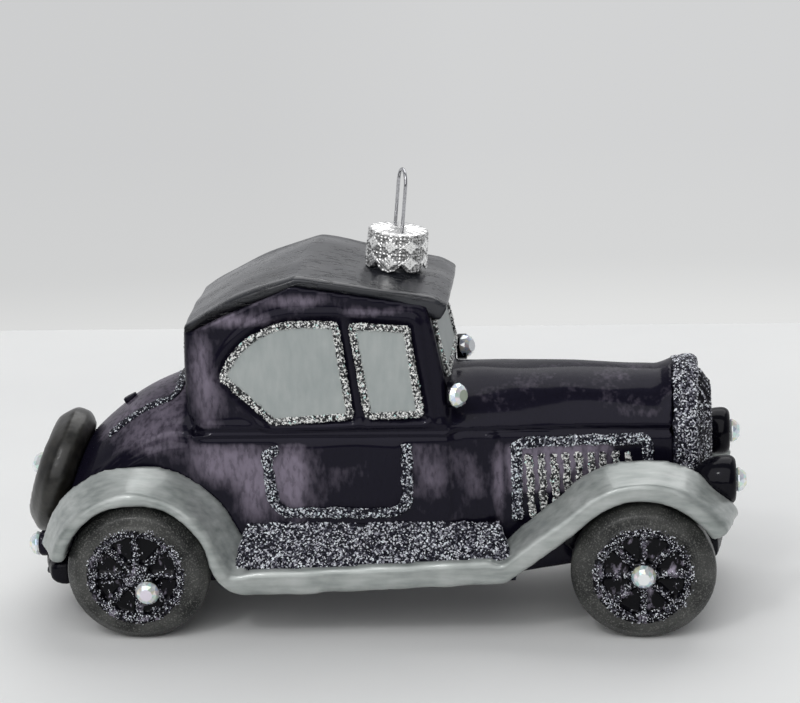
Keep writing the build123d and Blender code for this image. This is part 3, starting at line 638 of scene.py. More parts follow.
def glitter_tree():
    """Surface in, the same surface with foil plates out."""
    tree = bpy.data.node_groups.new("grow glitter", "GeometryNodeTree")
    socket_in(tree, "Surface", "Geometry")
    socket_in(tree, "Shards per mm2", "Float", 9.0)
    socket_in(tree, "Shard Radius", "Float", 0.2)
    socket_in(tree, "Tilt", "Float", 0.7)
    socket_in(tree, "Seed", "Int", 1)
    socket_in(tree, "Foil", "Material")
    socket_out(tree, "Geometry", "Geometry")
    given = tree.nodes.new("NodeGroupInput").outputs
    result = tree.nodes.new("NodeGroupOutput")
    seed = given["Seed"]

    def chance(kind, low, high, shift=0.0):
        """A random value between two others, from the seed moved by a shift."""
        made = node(tree, "FunctionNodeRandomValue", data_type=kind)
        first = 0 if kind == "FLOAT_VECTOR" else 2
        feed(tree, made.inputs[first], low)
        feed(tree, made.inputs[first + 1], high)
        moved = math_node(tree, "ADD", seed, shift) if shift else seed
        feed(tree, made.inputs["Seed"], moved)
        return made.outputs[first // 2]

    mark = node(tree, "GeometryNodeInputNamedAttribute", data_type="FLOAT", Name="glitter")
    density = math_node(tree, "MULTIPLY", given["Shards per mm2"], 1 / MM**2)
    density = math_node(tree, "MULTIPLY", density, mark.outputs["Attribute"])
    spread = "GeometryNodeDistributePointsOnFaces"
    scatter = node(tree, spread, Mesh=given["Surface"], Density=density, Seed=seed).outputs

    plate = {"Radius_Top": 0.0, "Radius_Bottom": 1.0, "Depth": 0.5}
    shard = node(tree, "GeometryNodeMeshCone", Vertices=3, **plate).outputs["Mesh"]
    flat = node(tree, "GeometryNodeTransform", Geometry=shard, Translation=(0, 0, -0.1))

    lean = node(tree, "ShaderNodeCombineXYZ", X=given["Tilt"], Y=given["Tilt"], Z=math.pi)
    lean = lean.outputs[0]
    low = node(tree, "ShaderNodeVectorMath", operation="SCALE", Scale=-1.0)
    feed(tree, low.inputs[0], lean)
    tilt = chance("FLOAT_VECTOR", low.outputs[0], lean)
    turned = node(tree, "FunctionNodeRotateRotation", rotation_space="LOCAL", Rotate_By=tilt)
    feed(tree, turned.inputs["Rotation"], scatter["Rotation"])

    sizes = [math_node(tree, "MULTIPLY", given["Shard Radius"], part * MM) for part in (0.6, 1.3)]
    place = node(
        tree,
        "GeometryNodeInstanceOnPoints",
        Points=scatter["Points"],
        Instance=flat.outputs[0],
        Rotation=turned.outputs[0],
        Scale=chance("FLOAT", *sizes, 11.0),
    )
    # Each plate stores a random tone that its foil turns into painted glint and shade.
    store = node(
        tree,
        "GeometryNodeStoreNamedAttribute",
        data_type="FLOAT",
        domain="INSTANCE",
        Name="painted_glint",
        Geometry=place.outputs[0],
        Value=chance("FLOAT", LEAST_FLASH, 1.0, 23.0),
    )
    joined = tree.nodes.new("GeometryNodeJoinGeometry")
    feed(tree, joined.inputs[0], store.outputs[0])
    feed(tree, joined.inputs[0], given["Surface"])
    real = node(tree, "GeometryNodeRealizeInstances", Geometry=joined.outputs[0])
    carried = node(tree, "GeometryNodeInputNamedAttribute", data_type="FLOAT", Name="painted_glint")
    is_plate = math_node(tree, "GREATER_THAN", carried.outputs["Attribute"], LEAST_FLASH / 2)
    foil = node(tree, "GeometryNodeSetMaterial", Geometry=real.outputs[0], Selection=is_plate)
    feed(tree, foil.inputs["Material"], given["Foil"])
    feed(tree, result.inputs[0], foil.outputs[0])
    return tree


GLITTER = glitter_tree()
SHARD_DENSITY = 10.0
SHARD_TILT = 0.8


# %% Growing glitter and putting pieces on
def grow_glitter(obj, foil, radius, seed, density=SHARD_DENSITY):
    """Grows plates on an object where its mesh is marked, and makes them real."""
    if "glitter" not in obj.data.attributes:
        set_attribute(obj, "glitter", np.ones(len(obj.data.vertices)))
    grow = obj.modifiers.new("glitter", "NODES")
    grow.node_group = GLITTER
    values = {"Shards per mm2": density, "Shard Radius": radius}
    values.update({"Tilt": SHARD_TILT, "Seed": seed, "Foil": foil})
    for item in GLITTER.interface.items_tree:
        if item.item_type == "SOCKET" and item.name in values:
            grow[item.identifier] = values[item.name]
    name = obj.name
    bare = len(obj.data.polygons)
    mesh = evaluated_mesh(obj)
    print(name, "shards:", (len(mesh.polygons) - bare) // 4)
    return add_object(name, mesh)


def paint_with(obj, *materials):
    """Gives an object its materials. The first one covers the whole surface."""
    obj.data.materials.clear()
    for material in materials:
        obj.data.materials.append(material)


def put_on(obj, part_of, slot_name, *replaced):
    """Lets a piece ride on its body, in place of the frame's own pieces."""
    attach(obj, part_of)
    if replaced:
        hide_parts(*replaced)


def glue_glitter(obj, glue, foil, radius, seed, slot_name, *replaced):
    """Paints the glue on a piece, grows its glitter and puts it on the car."""
    paint_with(obj, glue)
    put_on(grow_glitter(obj, foil, radius, seed), "car", slot_name, *replaced)


def no_thin_lacquer_nor_painted_light(obj):
    """Marks a piece whose lacquer is thick all over, with no painted light on it."""
    set_attribute(obj, "thin_and_painted_light", np.zeros(len(obj.data.vertices)))


# %% [markdown]
# The windows lie on the cabin's leaning side walls, and their outlines steer the shape
# of the glass round them. Each outline is found as the hull of a pane in side view.


# %% Outlines of the panes
def loose_parts(node_name):
    """The points of each separate solid in a frame piece, in millimetres."""
    build = pieces_in(node_name)
    merge_doubles(build)
    parts = [np.array([tuple(vert.co / MM) for vert in part]) for part in islands(build)]
    build.free()
    return sorted(parts, key=lambda part: part[:, 0].mean())


# %% Hull and walk
def hull_outline(points):
    """The convex outline of flat points, anticlockwise."""
    points = sorted(map(tuple, points))
    least_turn = 0.002

    def half(sequence):
        chain = []
        for point in sequence:
            while len(chain) > 1:
                (ax, ay), (bx, by) = chain[-2:]
                if (bx - ax) * (point[1] - ay) - (by - ay) * (point[0] - ax) > least_turn:
                    break
                chain.pop()
            chain.append(point)
        return chain[:-1]

    return np.array(half(points) + half(points[::-1]))


def walk(outline, spacing, inset=0.0, corner=0.0):
    """Even points along a closed outline, moved inwards, with its corners rounded."""
    middle = outline.mean(axis=0)
    closed = np.vstack([outline, outline[:1]])
    lengths = np.hypot(*np.diff(closed, axis=0).T)
    total = lengths.sum()
    count = int(total / spacing)
    along = np.linspace(0, total, count, endpoint=False)
    marks = np.concatenate([[0], np.cumsum(lengths)])
    path = np.column_stack([np.interp(along, marks, closed[:, axis]) for axis in (0, 1)])
    for _ in range(int((corner / spacing) ** 2)):
        path = 0.5 * path + 0.25 * (np.roll(path, 1, axis=0) + np.roll(path, -1, axis=0))
    ahead = np.roll(path, -1, axis=0) - np.roll(path, 1, axis=0)
    inward = np.column_stack([-ahead[:, 1], ahead[:, 0]])
    inward /= np.hypot(*inward.T)[:, None]
    if ((middle - path) * inward).sum() < 0:
        inward = -inward
    return path + inset * inward


pane_outlines = [hull_outline(part[:, [0, 2]]) for part in loose_parts("right_windows")]
BEAD_SPACING = 0.5
BEAD_CORNER = 0.9
pane_walks = [walk(outline, BEAD_SPACING, 0.35, BEAD_CORNER) for outline in pane_outlines]
print("points round the side panes:", [len(path) for path in pane_walks])


# %% Distance from the panes
def pane_distance(flat_points):
    """How far each point in side view is from the nearest pane's edge, inside below 0."""
    nearest = far_away = np.full(len(flat_points), 99.0)
    for outline in pane_outlines:
        best = far_away
        inside = np.ones(len(flat_points), dtype=bool)
        for start, end in zip(outline, np.roll(outline, -1, axis=0)):
            edge = end - start
            to = flat_points - start
            t = np.clip((to @ edge) / (edge @ edge), 0, 1)
            best = np.minimum(best, np.hypot(*(to - t[:, None] * edge).T))
            inside &= edge[0] * to[:, 1] - edge[1] * to[:, 0] > 0
        nearest = np.minimum(nearest, np.where(inside, -best, best))
    return nearest


# %% [markdown]
# The body. The hood, the tub with its doors, the tail and the cabin are one skin of
# glass on the real ornament, so they become one here too. The cabin's copy is filled by
# its convex outline, which closes the hollow body, and the wall inside is dropped. Then
# the mould's softer forms are pressed in: a swelling round each window, the lip and
# groove at the belt, and the line that runs down the tail.


# %% Body of glass
def filled(node_name):
    """A convex copy of a piece with no hollow in it."""
    build = pieces_in(node_name)
    merge_doubles(build)
    hull = bmesh.ops.convex_hull(build, input=build.verts)
    outside = {item for item in hull["geom"] if isinstance(item, bmesh.types.BMFace)}
    inner_faces = [face for face in build.faces if face not in outside]
    bmesh.ops.delete(build, geom=inner_faces, context="FACES_ONLY")
    inner_points = [vert for vert in build.verts if not vert.link_faces]
    bmesh.ops.delete(build, geom=inner_points, context="VERTS")
    return build


# %% One skin for the body
body_parts = filled("cabin")
for part_name in ("door_tub", "hood_body", "tail_body"):
    body_parts.from_mesh(nodes[part_name].data)
body = glass_skin(mesh_from("glass_body", body_parts), voxel=0.5, rounds=7, only_largest=True)

COWL_X = 14.1
TAIL_X = -34.1
BACK_SHIFT = 1.15
TAIL_LINE_X = [-58.0, -52.9, -47.9, -43.0, -38.5, -33.6]
TAIL_LINE_Z = [23.4, 29.4, 33.6, 36.6, 38.2, 38.4]


def press_body_forms(obj):
    """The swellings, lips and grooves that the mould gives the body."""
    points = points_of(obj)
    normals = rows(obj.data.vertices, "normal")
    x, y, z = points.T
    upright = step(1 - np.abs(normals[:, 2]), 0.3, 0.7)
    sideways = step(np.abs(normals[:, 1]), 0.5, 0.8)
    before_cowl = 1 - step(x, COWL_X + 0.5, COWL_X + 2)
    in_cabin = step(z, 38.3, 39.0) * step(x, TAIL_X - 2, TAIL_X) * before_cowl
    moved = 0.4 * hill(z, 39.7, 0.9) * in_cabin * upright
    at_back = step(-normals[:, 0], 0.5, 0.8) * step(-x, -TAIL_X - 1.5, -TAIL_X - 0.2)
    moved += BACK_SHIFT * at_back * step(z, 39.5, 41.5)
    groove_z = np.interp(x, [TAIL_X, COWL_X, 17, 34, 54], [37.9, 37.9, 38.7, 38.2, 37.3])
    by_side = step(np.abs(y), 9.5, 12) * step(x, TAIL_X + 0.5, TAIL_X + 3)
    on_hood = step(x, COWL_X, COWL_X + 2)
    depth, width = 0.55 + 0.35 * on_hood, 0.55 + 0.3 * on_hood
    moved -= depth * hill(z, groove_z, width) * by_side * upright
    distance = pane_distance(points[:, [0, 2]])
    on_wall = in_cabin * sideways
    moved += 0.5 * hill(distance, 1.7, 0.55) * on_wall
    moved -= 0.25 * hill(distance, 0.2, 0.5) * on_wall
    line_z = np.interp(x, TAIL_LINE_X, TAIL_LINE_Z)
    on_tail = step(-x, -TAIL_X - 0.5, -TAIL_X + 1.5) * (1 - step(-x, 55, 58))
    on_tail = on_tail * step(np.abs(y), 8, 11)
    moved += 0.35 * hill(z, line_z, 0.8) * on_tail
    moved -= 0.35 * hill(z, line_z - 1.6, 0.8) * on_tail
    push(obj, moved)


# %% Thin places of the lacquer, painted reflection and painted shade
def mark_thin_lacquer_and_painted_light(obj):
    """Stores where the lacquer ran thin and where reflection and shade are painted."""
    x, y, z = points_of(obj).T
    thin_and_painted_light = np.zeros(len(x))
    # The spots are partly thin lacquer and partly painted reflection where light falls.
    for spot_x, spot_z, wide, tall, amount in (
        (-31.0, 46.0, 3.0, 6.5, 0.9),
        (-25.0, 60.0, 7.0, 1.3, 0.9),
        (-14.0, 63.5, 7.0, 1.2, 0.7),
        (1.0, 61.5, 7.0, 1.0, 0.5),
        (-31.5, 54.0, 2.2, 4.0, 0.6),
        (-28.0, 33.0, 6.5, 4.2, 1.0),
        (-22.5, 27.5, 3.5, 6.5, 1.0),
        (-15.5, 30.0, 3.0, 6.5, 1.25),
        (-9.0, 30.0, 4.5, 4.5, 0.3),
        (10.5, 30.5, 4.0, 6.0, 0.62),
        (18.0, 30.0, 2.5, 6.0, 0.45),
        (23.2, 28.0, 1.0, 7.0, 0.9),
        (32.0, 33.0, 5.0, 3.0, 1.0),
    ):
        thin_and_painted_light += amount * np.exp(-(((x - spot_x) / wide) ** 2) - ((z - spot_z) / tall) ** 2)
    # The hood's side field, the hood top and the upper tail are lighter the same way.
    field = step(x, 24, 26) * (1 - step(x, 43, 46)) * step(z, 25, 27) * (1 - step(z, 34.5, 36.5))
    thin_and_painted_light += 0.8 * field * step(np.abs(y), 9, 11)
    hood = step(x, COWL_X + 1, COWL_X + 3) * step(z, 38.5, 40.5)
    tail = step(-x, 35, 37) * step(z, 32, 38)
    # Painted shade: the belt and hood groove, and all below about 18 mm, are made darkest.
    groove_z = np.interp(x, [COWL_X, 17, 34, 54], [37.9, 38.7, 38.2, 37.3])
    painted_shade = hill(z, groove_z, 1.0) * step(x, TAIL_X, TAIL_X + 2) * step(np.abs(y), 9.5, 12)
    painted_shade += 1 - step(z, 17, 20)
    thin_and_painted_light = np.clip(thin_and_painted_light, 0, 1) + 0.12 * hood + 0.55 * tail - 1.2 * painted_shade
    set_attribute(obj, "thin_and_painted_light", thin_and_painted_light)


# %% The finished body
press_body_forms(body)
smooth_rounds(body, 1)
waves(body, size=9, height=0.3, seed=1)
body = thinned(body, most_triangles=165000)
mark_thin_lacquer_and_painted_light(body)
paint_with(body, violet)
put_on(body, "car", "purple_lacquer", "cabin", "door_tub", "hood_body", "tail_body")

# %% [markdown]
# The roof is a separate sheet of form with the blowing neck on it. Its edge rolls over
# and tucks in under itself, so the lower part of the sheet is drawn towards the cabin.
# A mark tells the lacquer where the sheet lies below its crease on the sides, and
# there the colour is painted shade, near black, under a weaker coat.

# %% Roof
NECK_X = 4.1
NECK_REACH = 5.4
roof = skin_of("glass_roof", "roof", voxel=0.46, rounds=4)


def shape_roof(obj):
    """Rolls the roof's edge under, lowers its front corners and skews its ridge. Returns where
    shade is painted.
    """
    x, y, z = points_of(obj).T
    first_x, first_z = x.copy(), z.copy()
    top = np.interp(x, [-34.8, -26.4, -14.5, 0.0, 14.5], [59.0, 64.0, 68.5, 66.4, 63.8])
    depth = top - z
    free = np.hypot(x - NECK_X, y) > NECK_REACH
    under = step(depth, 0.7, 2.2)
    at_side = step(np.abs(y), 11.5, 16.0)
    at_rear, at_front = step(-x, 31.0, 34.5), step(x, 11.0, 14.3)
    y = y - np.sign(y) * free * 1.5 * under * at_side
    z = z - free * under * (0.7 + 1.9 * step(x, 3, 12)) * np.maximum(at_side, at_front)
    x = x + free * under * (0.2 * at_rear - 1.3 * at_front)
    nose = np.clip((x - 10.8) / 3.7, 0, 1)
    z = z - free * (1 - under) * 1.1 * nose**2
    over = hill(x, -13.0, 9.0) * step(z, 62, 66)
    x = x + over * (1.2 + 0.06 * (y + 16))
    z = z + over * 0.8 * step(y, -8, 10)
    place_points(obj, np.column_stack([x, y, z]))
    # Below this crease, on the sides, the lacquer paints shade.
    crease_x = [-33.1, -30.2, -22.3, -14.7, -2.9, 11.2, 14.5]
    crease_z = [58.9, 61.4, 63.9, 66.9, 64.9, 62.4, 61.9]
    below = np.interp(first_x, crease_x, crease_z) - first_z
    return step(below, -0.35, 0.2) * free * at_side


eave_shade = shape_roof(roof)
smooth_rounds(roof, 14)
set_attribute(roof, "eave_shade", eave_shade)
waves(roof, size=8, height=0.3, seed=2)
paint_with(roof, wrinkled_black)
put_on(roof, "car", "black_lacquer", "roof")

# %% [markdown]
# Between the wheels the glass closes in dark round lobes. On the outside of them each
# side has one painted silver ribbon, which runs over the rear wheel, along the running
# board's rim and over the front wheel. Many rounds of smoothing give these the swollen
# look of blown glass. The lobes are drawn in behind the tyres, so none shows past them.

# %% Lobes and ribbons
AXLE_Z = 13.0
AXLES = {"front": 49.9, "rear": -44.5}
TYRE_ROUND = 12.9
FOOT_X = [-31.5, -30.1, -29.1, -27.3, -25.1, -21.0, -8.2]
FOOT_X += [8.6, 23.5, 26.2, 29.0, 34.6, 38.3, 39.5]
FOOT_Z = [17.0, 14.5, 12.5, 10.7, 9.5, 9.1, 10.1, 10.9, 11.8, 12.0, 12.8, 16.3, 19.2, 20.0]


def round_ribbon_foot(obj):
    """Lifts the ribbon's lower edge to a soft curve where it turns along the board."""
    points = points_of(obj)
    lowest = np.interp(points[:, 0], FOOT_X, FOOT_Z, left=0, right=0)
    points[:, 2] = np.maximum(points[:, 2], lowest)
    place_points(obj, points)


def tuck_behind_wheel(obj, axle_x):
    """Draws the low part of a lobe in to the round of the wheel in front of it."""
    points = points_of(obj)
    away = points[:, [0, 2]] - (axle_x, AXLE_Z)
    reach = np.hypot(*away.T)
    low = 1 - step(points[:, 2], 15, 19)
    shrink = 1 - low * (1 - np.minimum(1, TYRE_ROUND / np.maximum(reach, 1)))
    points[:, [0, 2]] = (axle_x, AXLE_Z) + away * shrink[:, None]
    place_points(obj, points)


for place, axle_x in AXLES.items():
    lobe = skin_of(f"{place}_lobe", f"{place}_wheel_housing", voxel=0.85, rounds=20)
    tuck_behind_wheel(lobe, axle_x)
    smooth_rounds(lobe, 4)
    no_thin_lacquer_nor_painted_light(lobe)
    paint_with(lobe, gloss_black)
    put_on(lobe, "car", "black_lacquer", f"{place}_wheel_housing")

for side in ("right", "left"):
    parts = [f"{side}_rear_fender", f"{side}_board_rim", f"{side}_front_fender"]
    ribbon = skin_of(f"{side}_silver_ribbon", *parts, voxel=0.55, rounds=20)
    round_ribbon_foot(ribbon)
    smooth_rounds(ribbon, 16)
    push(ribbon, 0.2)
    tip = step(points_of(ribbon)[:, 0], 60.5, 65)
    smooth_rounds(ribbon, 14, back=0.0, where=tip[:, None])
    push(ribbon, 0.45 * tip)
    waves(ribbon, size=6, height=0.35, seed=3)
    paint_with(ribbon, silver)
    put_on(ribbon, "car", "silver_lacquer", *parts)

# %% [markdown]
# Behind each rim lies the running board, a steep slope that is wholly covered with dark
# glitter. Its glue ran out a little towards both fenders, so the ends of the copied
# board are pulled out before it is wrapped.


# %% Running boards
def spread_board_ends(obj):
    """Runs the glue out at both ends of the board, most at the foot of the slope."""
    x, y, z = points_of(obj).T
    foot = 1 - step(z, 13, 21.5)
    x = x + np.where(x > 15, 1.2 + 3.4 * foot, 0) - np.where(x < -18, 0.4 + 2.0 * foot, 0)
    place_points(obj, np.column_stack([x, y, z]))


for side in ("right", "left"):
    board = copy_of(f"{side}_glitter_board", f"{side}_running_board")
    spread_board_ends(board)
    board = glass_skin(board, voxel=0.55, rounds=5)
    waves(board, size=3, height=0.5, seed=4)
    along, aside, upward = rows(board.data.vertices, "normal").T
    outward = aside * (-1 if side == "right" else 1) + upward + 0.4 * np.abs(along)
    mark = (points_of(board)[:, 2] > 12.4) * step(outward, 0.1, 0.4)
    set_attribute(board, "glitter", mark)
    glue_glitter(
        board, dark_glue, dark_flakes, 0.35, 10, "dark_glitter", f"{side}_running_board"
    )

# %% [markdown]
# Wheels. Each is a moulded lobe: a grey tyre, a raised rim ring and eight spokes drawn
# in glitter, and dark glossy wedges between them. Where the glue went is computed from
# each point's distance from the axle and its angle round it, with some noise on both,
# because a line drawn by hand has ragged edges.


# %% Wheels
def around_axis(points, middle, facing):
    """The height of each point along an axis, and its distance from it."""
    away = points - middle
    height = away @ facing
    return height, np.linalg.norm(away - np.outer(height, facing), axis=1)


TYRE_INNER = 9.15
SPOKE_TURN = math.pi / 4
# %% Glitter on the wheels
wheel_names = [f"{side}_{end}_wheel" for side in ("right", "left") for end in ("front", "rear")]
for number, wheel_name in enumerate(wheel_names):
    skin_name = wheel_name.replace("wheel", "glass_wheel")
    wheel = skin_of(skin_name, wheel_name, voxel=0.42, rounds=4)
    low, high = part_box(wheel_name)
    facing = np.array([0.0, -1.0 if low.y < 0 else 1.0, 0.0])
    face_y = max(abs(low.y), abs(high.y)) / MM - 0.5
    hub = np.array([(low.x + high.x) / 2, 0, (low.z + high.z) / 2]) / MM
    points = points_of(wheel)
    height, radius = around_axis(points, hub, facing)
    tyre = radius > TYRE_INNER
    ragged = noise_at(points, 1.3, number)
    turn = np.arctan2(points[:, 2] - hub[2], points[:, 0] - hub[0])
    from_spoke = (turn + SPOKE_TURN / 2) % SPOKE_TURN - SPOKE_TURN / 2
    off_spoke = radius * np.abs(np.sin(from_spoke))
    spoke = 1 - step(off_spoke + 0.4 * ragged, 0.3, 0.75)
    nave = 1 - step(radius + 0.6 * ragged, 1.8, 2.3)
    rough_radius = radius + 0.8 * ragged
    ring = step(rough_radius, 7.5, 7.9) * (1 - step(rough_radius, 8.9, 9.4))
    splash = 0.7 * step(noise_at(points, 0.9, number + 30), 0.36, 0.48)
    inside = np.maximum.reduce([spoke, nave, splash]) * (radius < 8)
    mark = np.maximum(inside, ring) * (height > face_y - 1.6)
    set_attribute(wheel, "glitter", np.clip(mark, 0, 1))
    wide = 1 + 0.035 * step(radius, 9.5, 12.5)
    points[:, 0] = hub[0] + (points[:, 0] - hub[0]) * wide
    place_points(wheel, points)
    no_thin_lacquer_nor_painted_light(wheel)
    paint_with(wheel, tyre_grey, wedge_black_glints)
    polygons = wheel.data.polygons
    first_points = [polygon.vertices[0] for polygon in polygons]
    polygons.foreach_set("material_index", (~tyre[first_points]).astype(np.int32))
    wheel = grow_glitter(wheel, dark_flakes, 0.23, 20 + number, density=13.0)
    put_on(wheel, "car", "tyre_grey", wheel_name)

spare = skin_of("glass_spare_wheel", "spare_wheel", voxel=0.6, rounds=40)
waves(spare, size=6, height=0.3, seed=5)
paint_with(spare, spare_grey)
put_on(spare, "car", "tyre_grey", "spare_wheel")

# %% [markdown]
# The front end. The radiator surround is a thick arch of glitter, and the grille swells
# forward inside it with glitter on its upright bars. Lamps and bumpers are soft dark
# lobes.

# %% Radiator, grille, lamps and bumpers
radiator = skin_of("glitter_radiator", "radiator_surround", voxel=0.5, rounds=7)
waves(radiator, size=3, height=0.6, seed=6)
forward = rows(radiator.data.vertices, "normal")[:, 0]
set_attribute(radiator, "glitter", step(forward, -0.75, -0.5))
glue_glitter(radiator, dark_glue, dark_flakes, 0.36, 40, "dark_glitter", "radiator_surround")

BAR_PITCH = 2.2
grille = skin_of("glass_grille", "grille", voxel=0.42, rounds=3)
x, y, _ = points_of(grille).T
bars = hill(np.abs((y + BAR_PITCH / 2) % BAR_PITCH - BAR_PITCH / 2), 0, 0.5)
at_side = step(np.abs(y), 6.5, 8.5) * step(x, 60.4, 60.9)
set_attribute(grille, "glitter", np.maximum(bars, at_side) * step(x, 59.6, 60.2))
no_thin_lacquer_nor_painted_light(grille)
glue_glitter(grille, gloss_black, dark_flakes, 0.28, 41, "dark_glitter", "grille")

LID_SEAT = np.array([-46.4, 0.0, 40.8])
LID_OUT = np.array([-0.51, 0.0, 0.86])
LID_DOWN = np.array([-0.86, 0.0, -0.51])
LID_SLIP = 1.7
BUMPER_BACK_X = -65.4
for node_name, voxel, rounds, finish, slot_name in (
    ("right_headlamp", 0.38, 16, gloss_black, "purple_lacquer"),
    ("left_headlamp", 0.38, 16, gloss_black, "purple_lacquer"),
    ("right_cowl_lamp", 0.3, 6, gloss_black, "purple_lacquer"),
    ("left_cowl_lamp", 0.3, 6, gloss_black, "purple_lacquer"),
    ("lid_handle", 0.25, 12, violet, "purple_lacquer"),
    ("front_bumper", 0.45, 16, gloss_black, "black_lacquer"),
    ("rear_bumper", 0.45, 16, gloss_black, "black_lacquer"),
):
    lobe = skin_of("glass_" + node_name, node_name, voxel=voxel, rounds=rounds)
    points = points_of(lobe)
    if node_name == "rear_bumper":
        points[:, 0] = BUMPER_BACK_X + 2.2 * (points[:, 0] - BUMPER_BACK_X)
        place_points(lobe, points)
        smooth_rounds(lobe, 10)
        push(lobe, 0.3)
    if node_name == "lid_handle":
        along = (points - LID_SEAT) @ LID_DOWN
        points += np.outer(LID_SLIP - 0.4 * along, LID_DOWN) - 0.2 * LID_OUT
        place_points(lobe, points)
    no_thin_lacquer_nor_painted_light(lobe)
    paint_with(lobe, finish)
    put_on(lobe, "car", slot_name, node_name)

# %% [markdown]
# Raised lines of glitter follow the doors, the lid and the louvres. Their copies are
# wrapped in a fine skin, so they look like a bead of glue with rounded edges. The
# louvres have a dark frame and brighter bars, which lie inside it.


# %% Lines of glitter
def louvre_copy(name, node_name, frame_only):
    """A copy of the louvres' frame, or of the bars inside it."""
    build = pieces_in(node_name)
    merge_doubles(build)
    for part in islands(build):
        along = [vert.co.x for vert in part]
        is_frame = max(along) - min(along) > 10 * MM
        if is_frame != frame_only:
            bmesh.ops.delete(build, geom=part, context="VERTS")
    return mesh_from(name, build)


HOOK_X = -20.3
HOOK_Z = 34.6


def move_door_line(obj):
    """Draws the door's rear line back a little, and hooks its upper end forwards."""
    x, y, z = points_of(obj).T
    at_rear = step(-x, 8, 15)
    x = x - 1.2 * at_rear
    past = np.maximum(z - HOOK_Z, 0) * (x < -12)
    bent = step(past, 0.0, 0.9)
    aside = x - HOOK_X
    x = x + 1.7 * past - bent * aside
    z = z - past - bent * (aside - 0.6)
    place_points(obj, np.column_stack([x, y, z]))
    smooth_rounds(obj, 2)


for side in ("right", "left"):
    line = skin_of(f"{side}_door_line", f"{side}_door_trim", voxel=0.25, rounds=3)
    move_door_line(line)
    waves(line, size=2, height=0.3, seed=7, out=0.18)
    glue_glitter(line, dark_glue, line_flakes, 0.34, 50, "dark_glitter", f"{side}_door_trim")

    louvres = f"{side}_louvres"
    outline = glass_skin(louvre_copy(f"{side}_louvre_frame", louvres, True), voxel=0.25, rounds=3)
    waves(outline, size=2, height=0.3, seed=7, out=0.22)
    glue_glitter(outline, dark_glue, line_flakes, 0.34, 51, "silver_glitter", louvres)
    slats = glass_skin(louvre_copy(f"{side}_louvre_bars", louvres, False), voxel=0.25, rounds=3)
    waves(slats, size=1.4, height=0.4, seed=8, out=0.1)
    glue_glitter(slats, bright_glue, bright_flakes, 0.35, 52, "silver_glitter")

lid_line = skin_of("lid_line", "lid_trim", voxel=0.22, rounds=4)
dotted = 0.25 + 0.75 * step(noise_at(points_of(lid_line), 1.2, 9), -0.1, 0.15)
set_attribute(lid_line, "glitter", dotted)
glue_glitter(lid_line, dark_glue, line_flakes, 0.25, 53, "dark_glitter", "lid_trim")

# %% [markdown]
# The panes are flat fields of silver paint, so the frame's own pieces stay and only get
# the paint. Only the rear one is a copy, because it goes out with the cabin's back. A
# bead of bright glitter is drawn round each of them. It is swept along the walk round
# the pane, as a low round section with a flat back.


# %% Window beads
def bead(name, path, normals, width, height):
    """A closed low bead along a closed path. The normals point away from the glass."""
    half = [(-0.5, -0.2), (-0.44, 0.45), (-0.25, 0.85)]
    section = [*half, (0, 1.0), *((-aside, up_by) for aside, up_by in half[::-1])]
    ahead = np.roll(path, -1, axis=0) - np.roll(path, 1, axis=0)
    ahead /= np.linalg.norm(ahead, axis=1)[:, None]
    across = np.cross(normals, ahead)
    swell = 1 + 0.22 * noise_at(path, 2.0, 11)[:, None]
    build = bmesh.new()
    rings = []
    for aside, up_by in section:
        line = path + across * (aside * width * swell) + normals * (up_by * height * swell)
        rings.append([build.verts.new(Vector(point) * MM) for point in line])
    count = len(path)
    for one, two in zip(rings, rings[1:] + rings[:1]):
        for index in range(count):
            after = (index + 1) % count
            build.faces.new((one[index], one[after], two[after], two[index]))
    bmesh.ops.recalc_face_normals(build, faces=build.faces)
    made = mesh_from(name, build)
    made.data.shade_smooth()
    return made


# %% Laying a bead on a pane
def outer_face(node_name, facing):
    """A point on a pane's outer face and that face's normal."""
    mesh = nodes[node_name].data
    normals = rows(mesh.polygons, "normal")
    centres = rows(mesh.polygons, "center") / MM
    areas = np.array([polygon.area for polygon in mesh.polygons])
    best = int(np.argmax(areas * (normals @ np.array(facing) > 0.8)))
    return centres[best], normals[best]


def on_plane(path, axes, point, normal):
    """Flat points of a path, put on a plane. The axes say which two they give."""
    across = 3 - sum(axes)
    flat = (path - point[axes]) @ normal[axes]
    line = np.empty((len(path), 3))
    line[:, axes] = path
    line[:, across] = point[across] - flat / normal[across]
    return line


# %% Beads round the panes
for side, sign in (("right", -1), ("left", 1)):
    point, normal = outer_face(f"{side}_windows", (0, sign, 0))
    for part_number, path in enumerate(pane_walks):
        line = on_plane(path, [0, 2], point, normal)
        normals = np.tile(normal, (len(line), 1))
        one = bead(f"{side}_pane_bead_{part_number}", line, normals, 1.2, 0.4)
        seed = 60 + part_number
        glue_glitter(one, bright_glue, bright_flakes, 0.34, seed, "silver_glitter")

rear_pane = copy_of("rear_pane", "rear_window")
points = rows(rear_pane.data.vertices, "co")
points[:, 0] -= BACK_SHIFT * MM
set_points(rear_pane.data, points)
paint_with(rear_pane, pane_silver)
put_on(rear_pane, "car", "window_silver", "rear_window")
for name, node_name, facing in (("screen_bead", "windscreen", 1), ("rear_bead", "rear_window", -1)):
    pane = loose_parts(node_name)[0]
    path = walk(hull_outline(pane[:, [1, 2]]), BEAD_SPACING, 0.3, BEAD_CORNER)
    point, normal = outer_face(node_name, (facing, 0, 0))
    if facing < 0:
        point = point - (BACK_SHIFT, 0, 0)
    line = on_plane(path, [1, 2], point, normal)
    normals = np.tile(normal, (len(line), 1))
    one = bead(name, line, normals, 1.3, 0.35)
    glue_glitter(one, bright_glue, bright_flakes, 0.34, 70, "silver_glitter")

for node_name in ("right_windows", "left_windows", "windscreen"):
    paint_with(nodes[node_name], pane_silver)

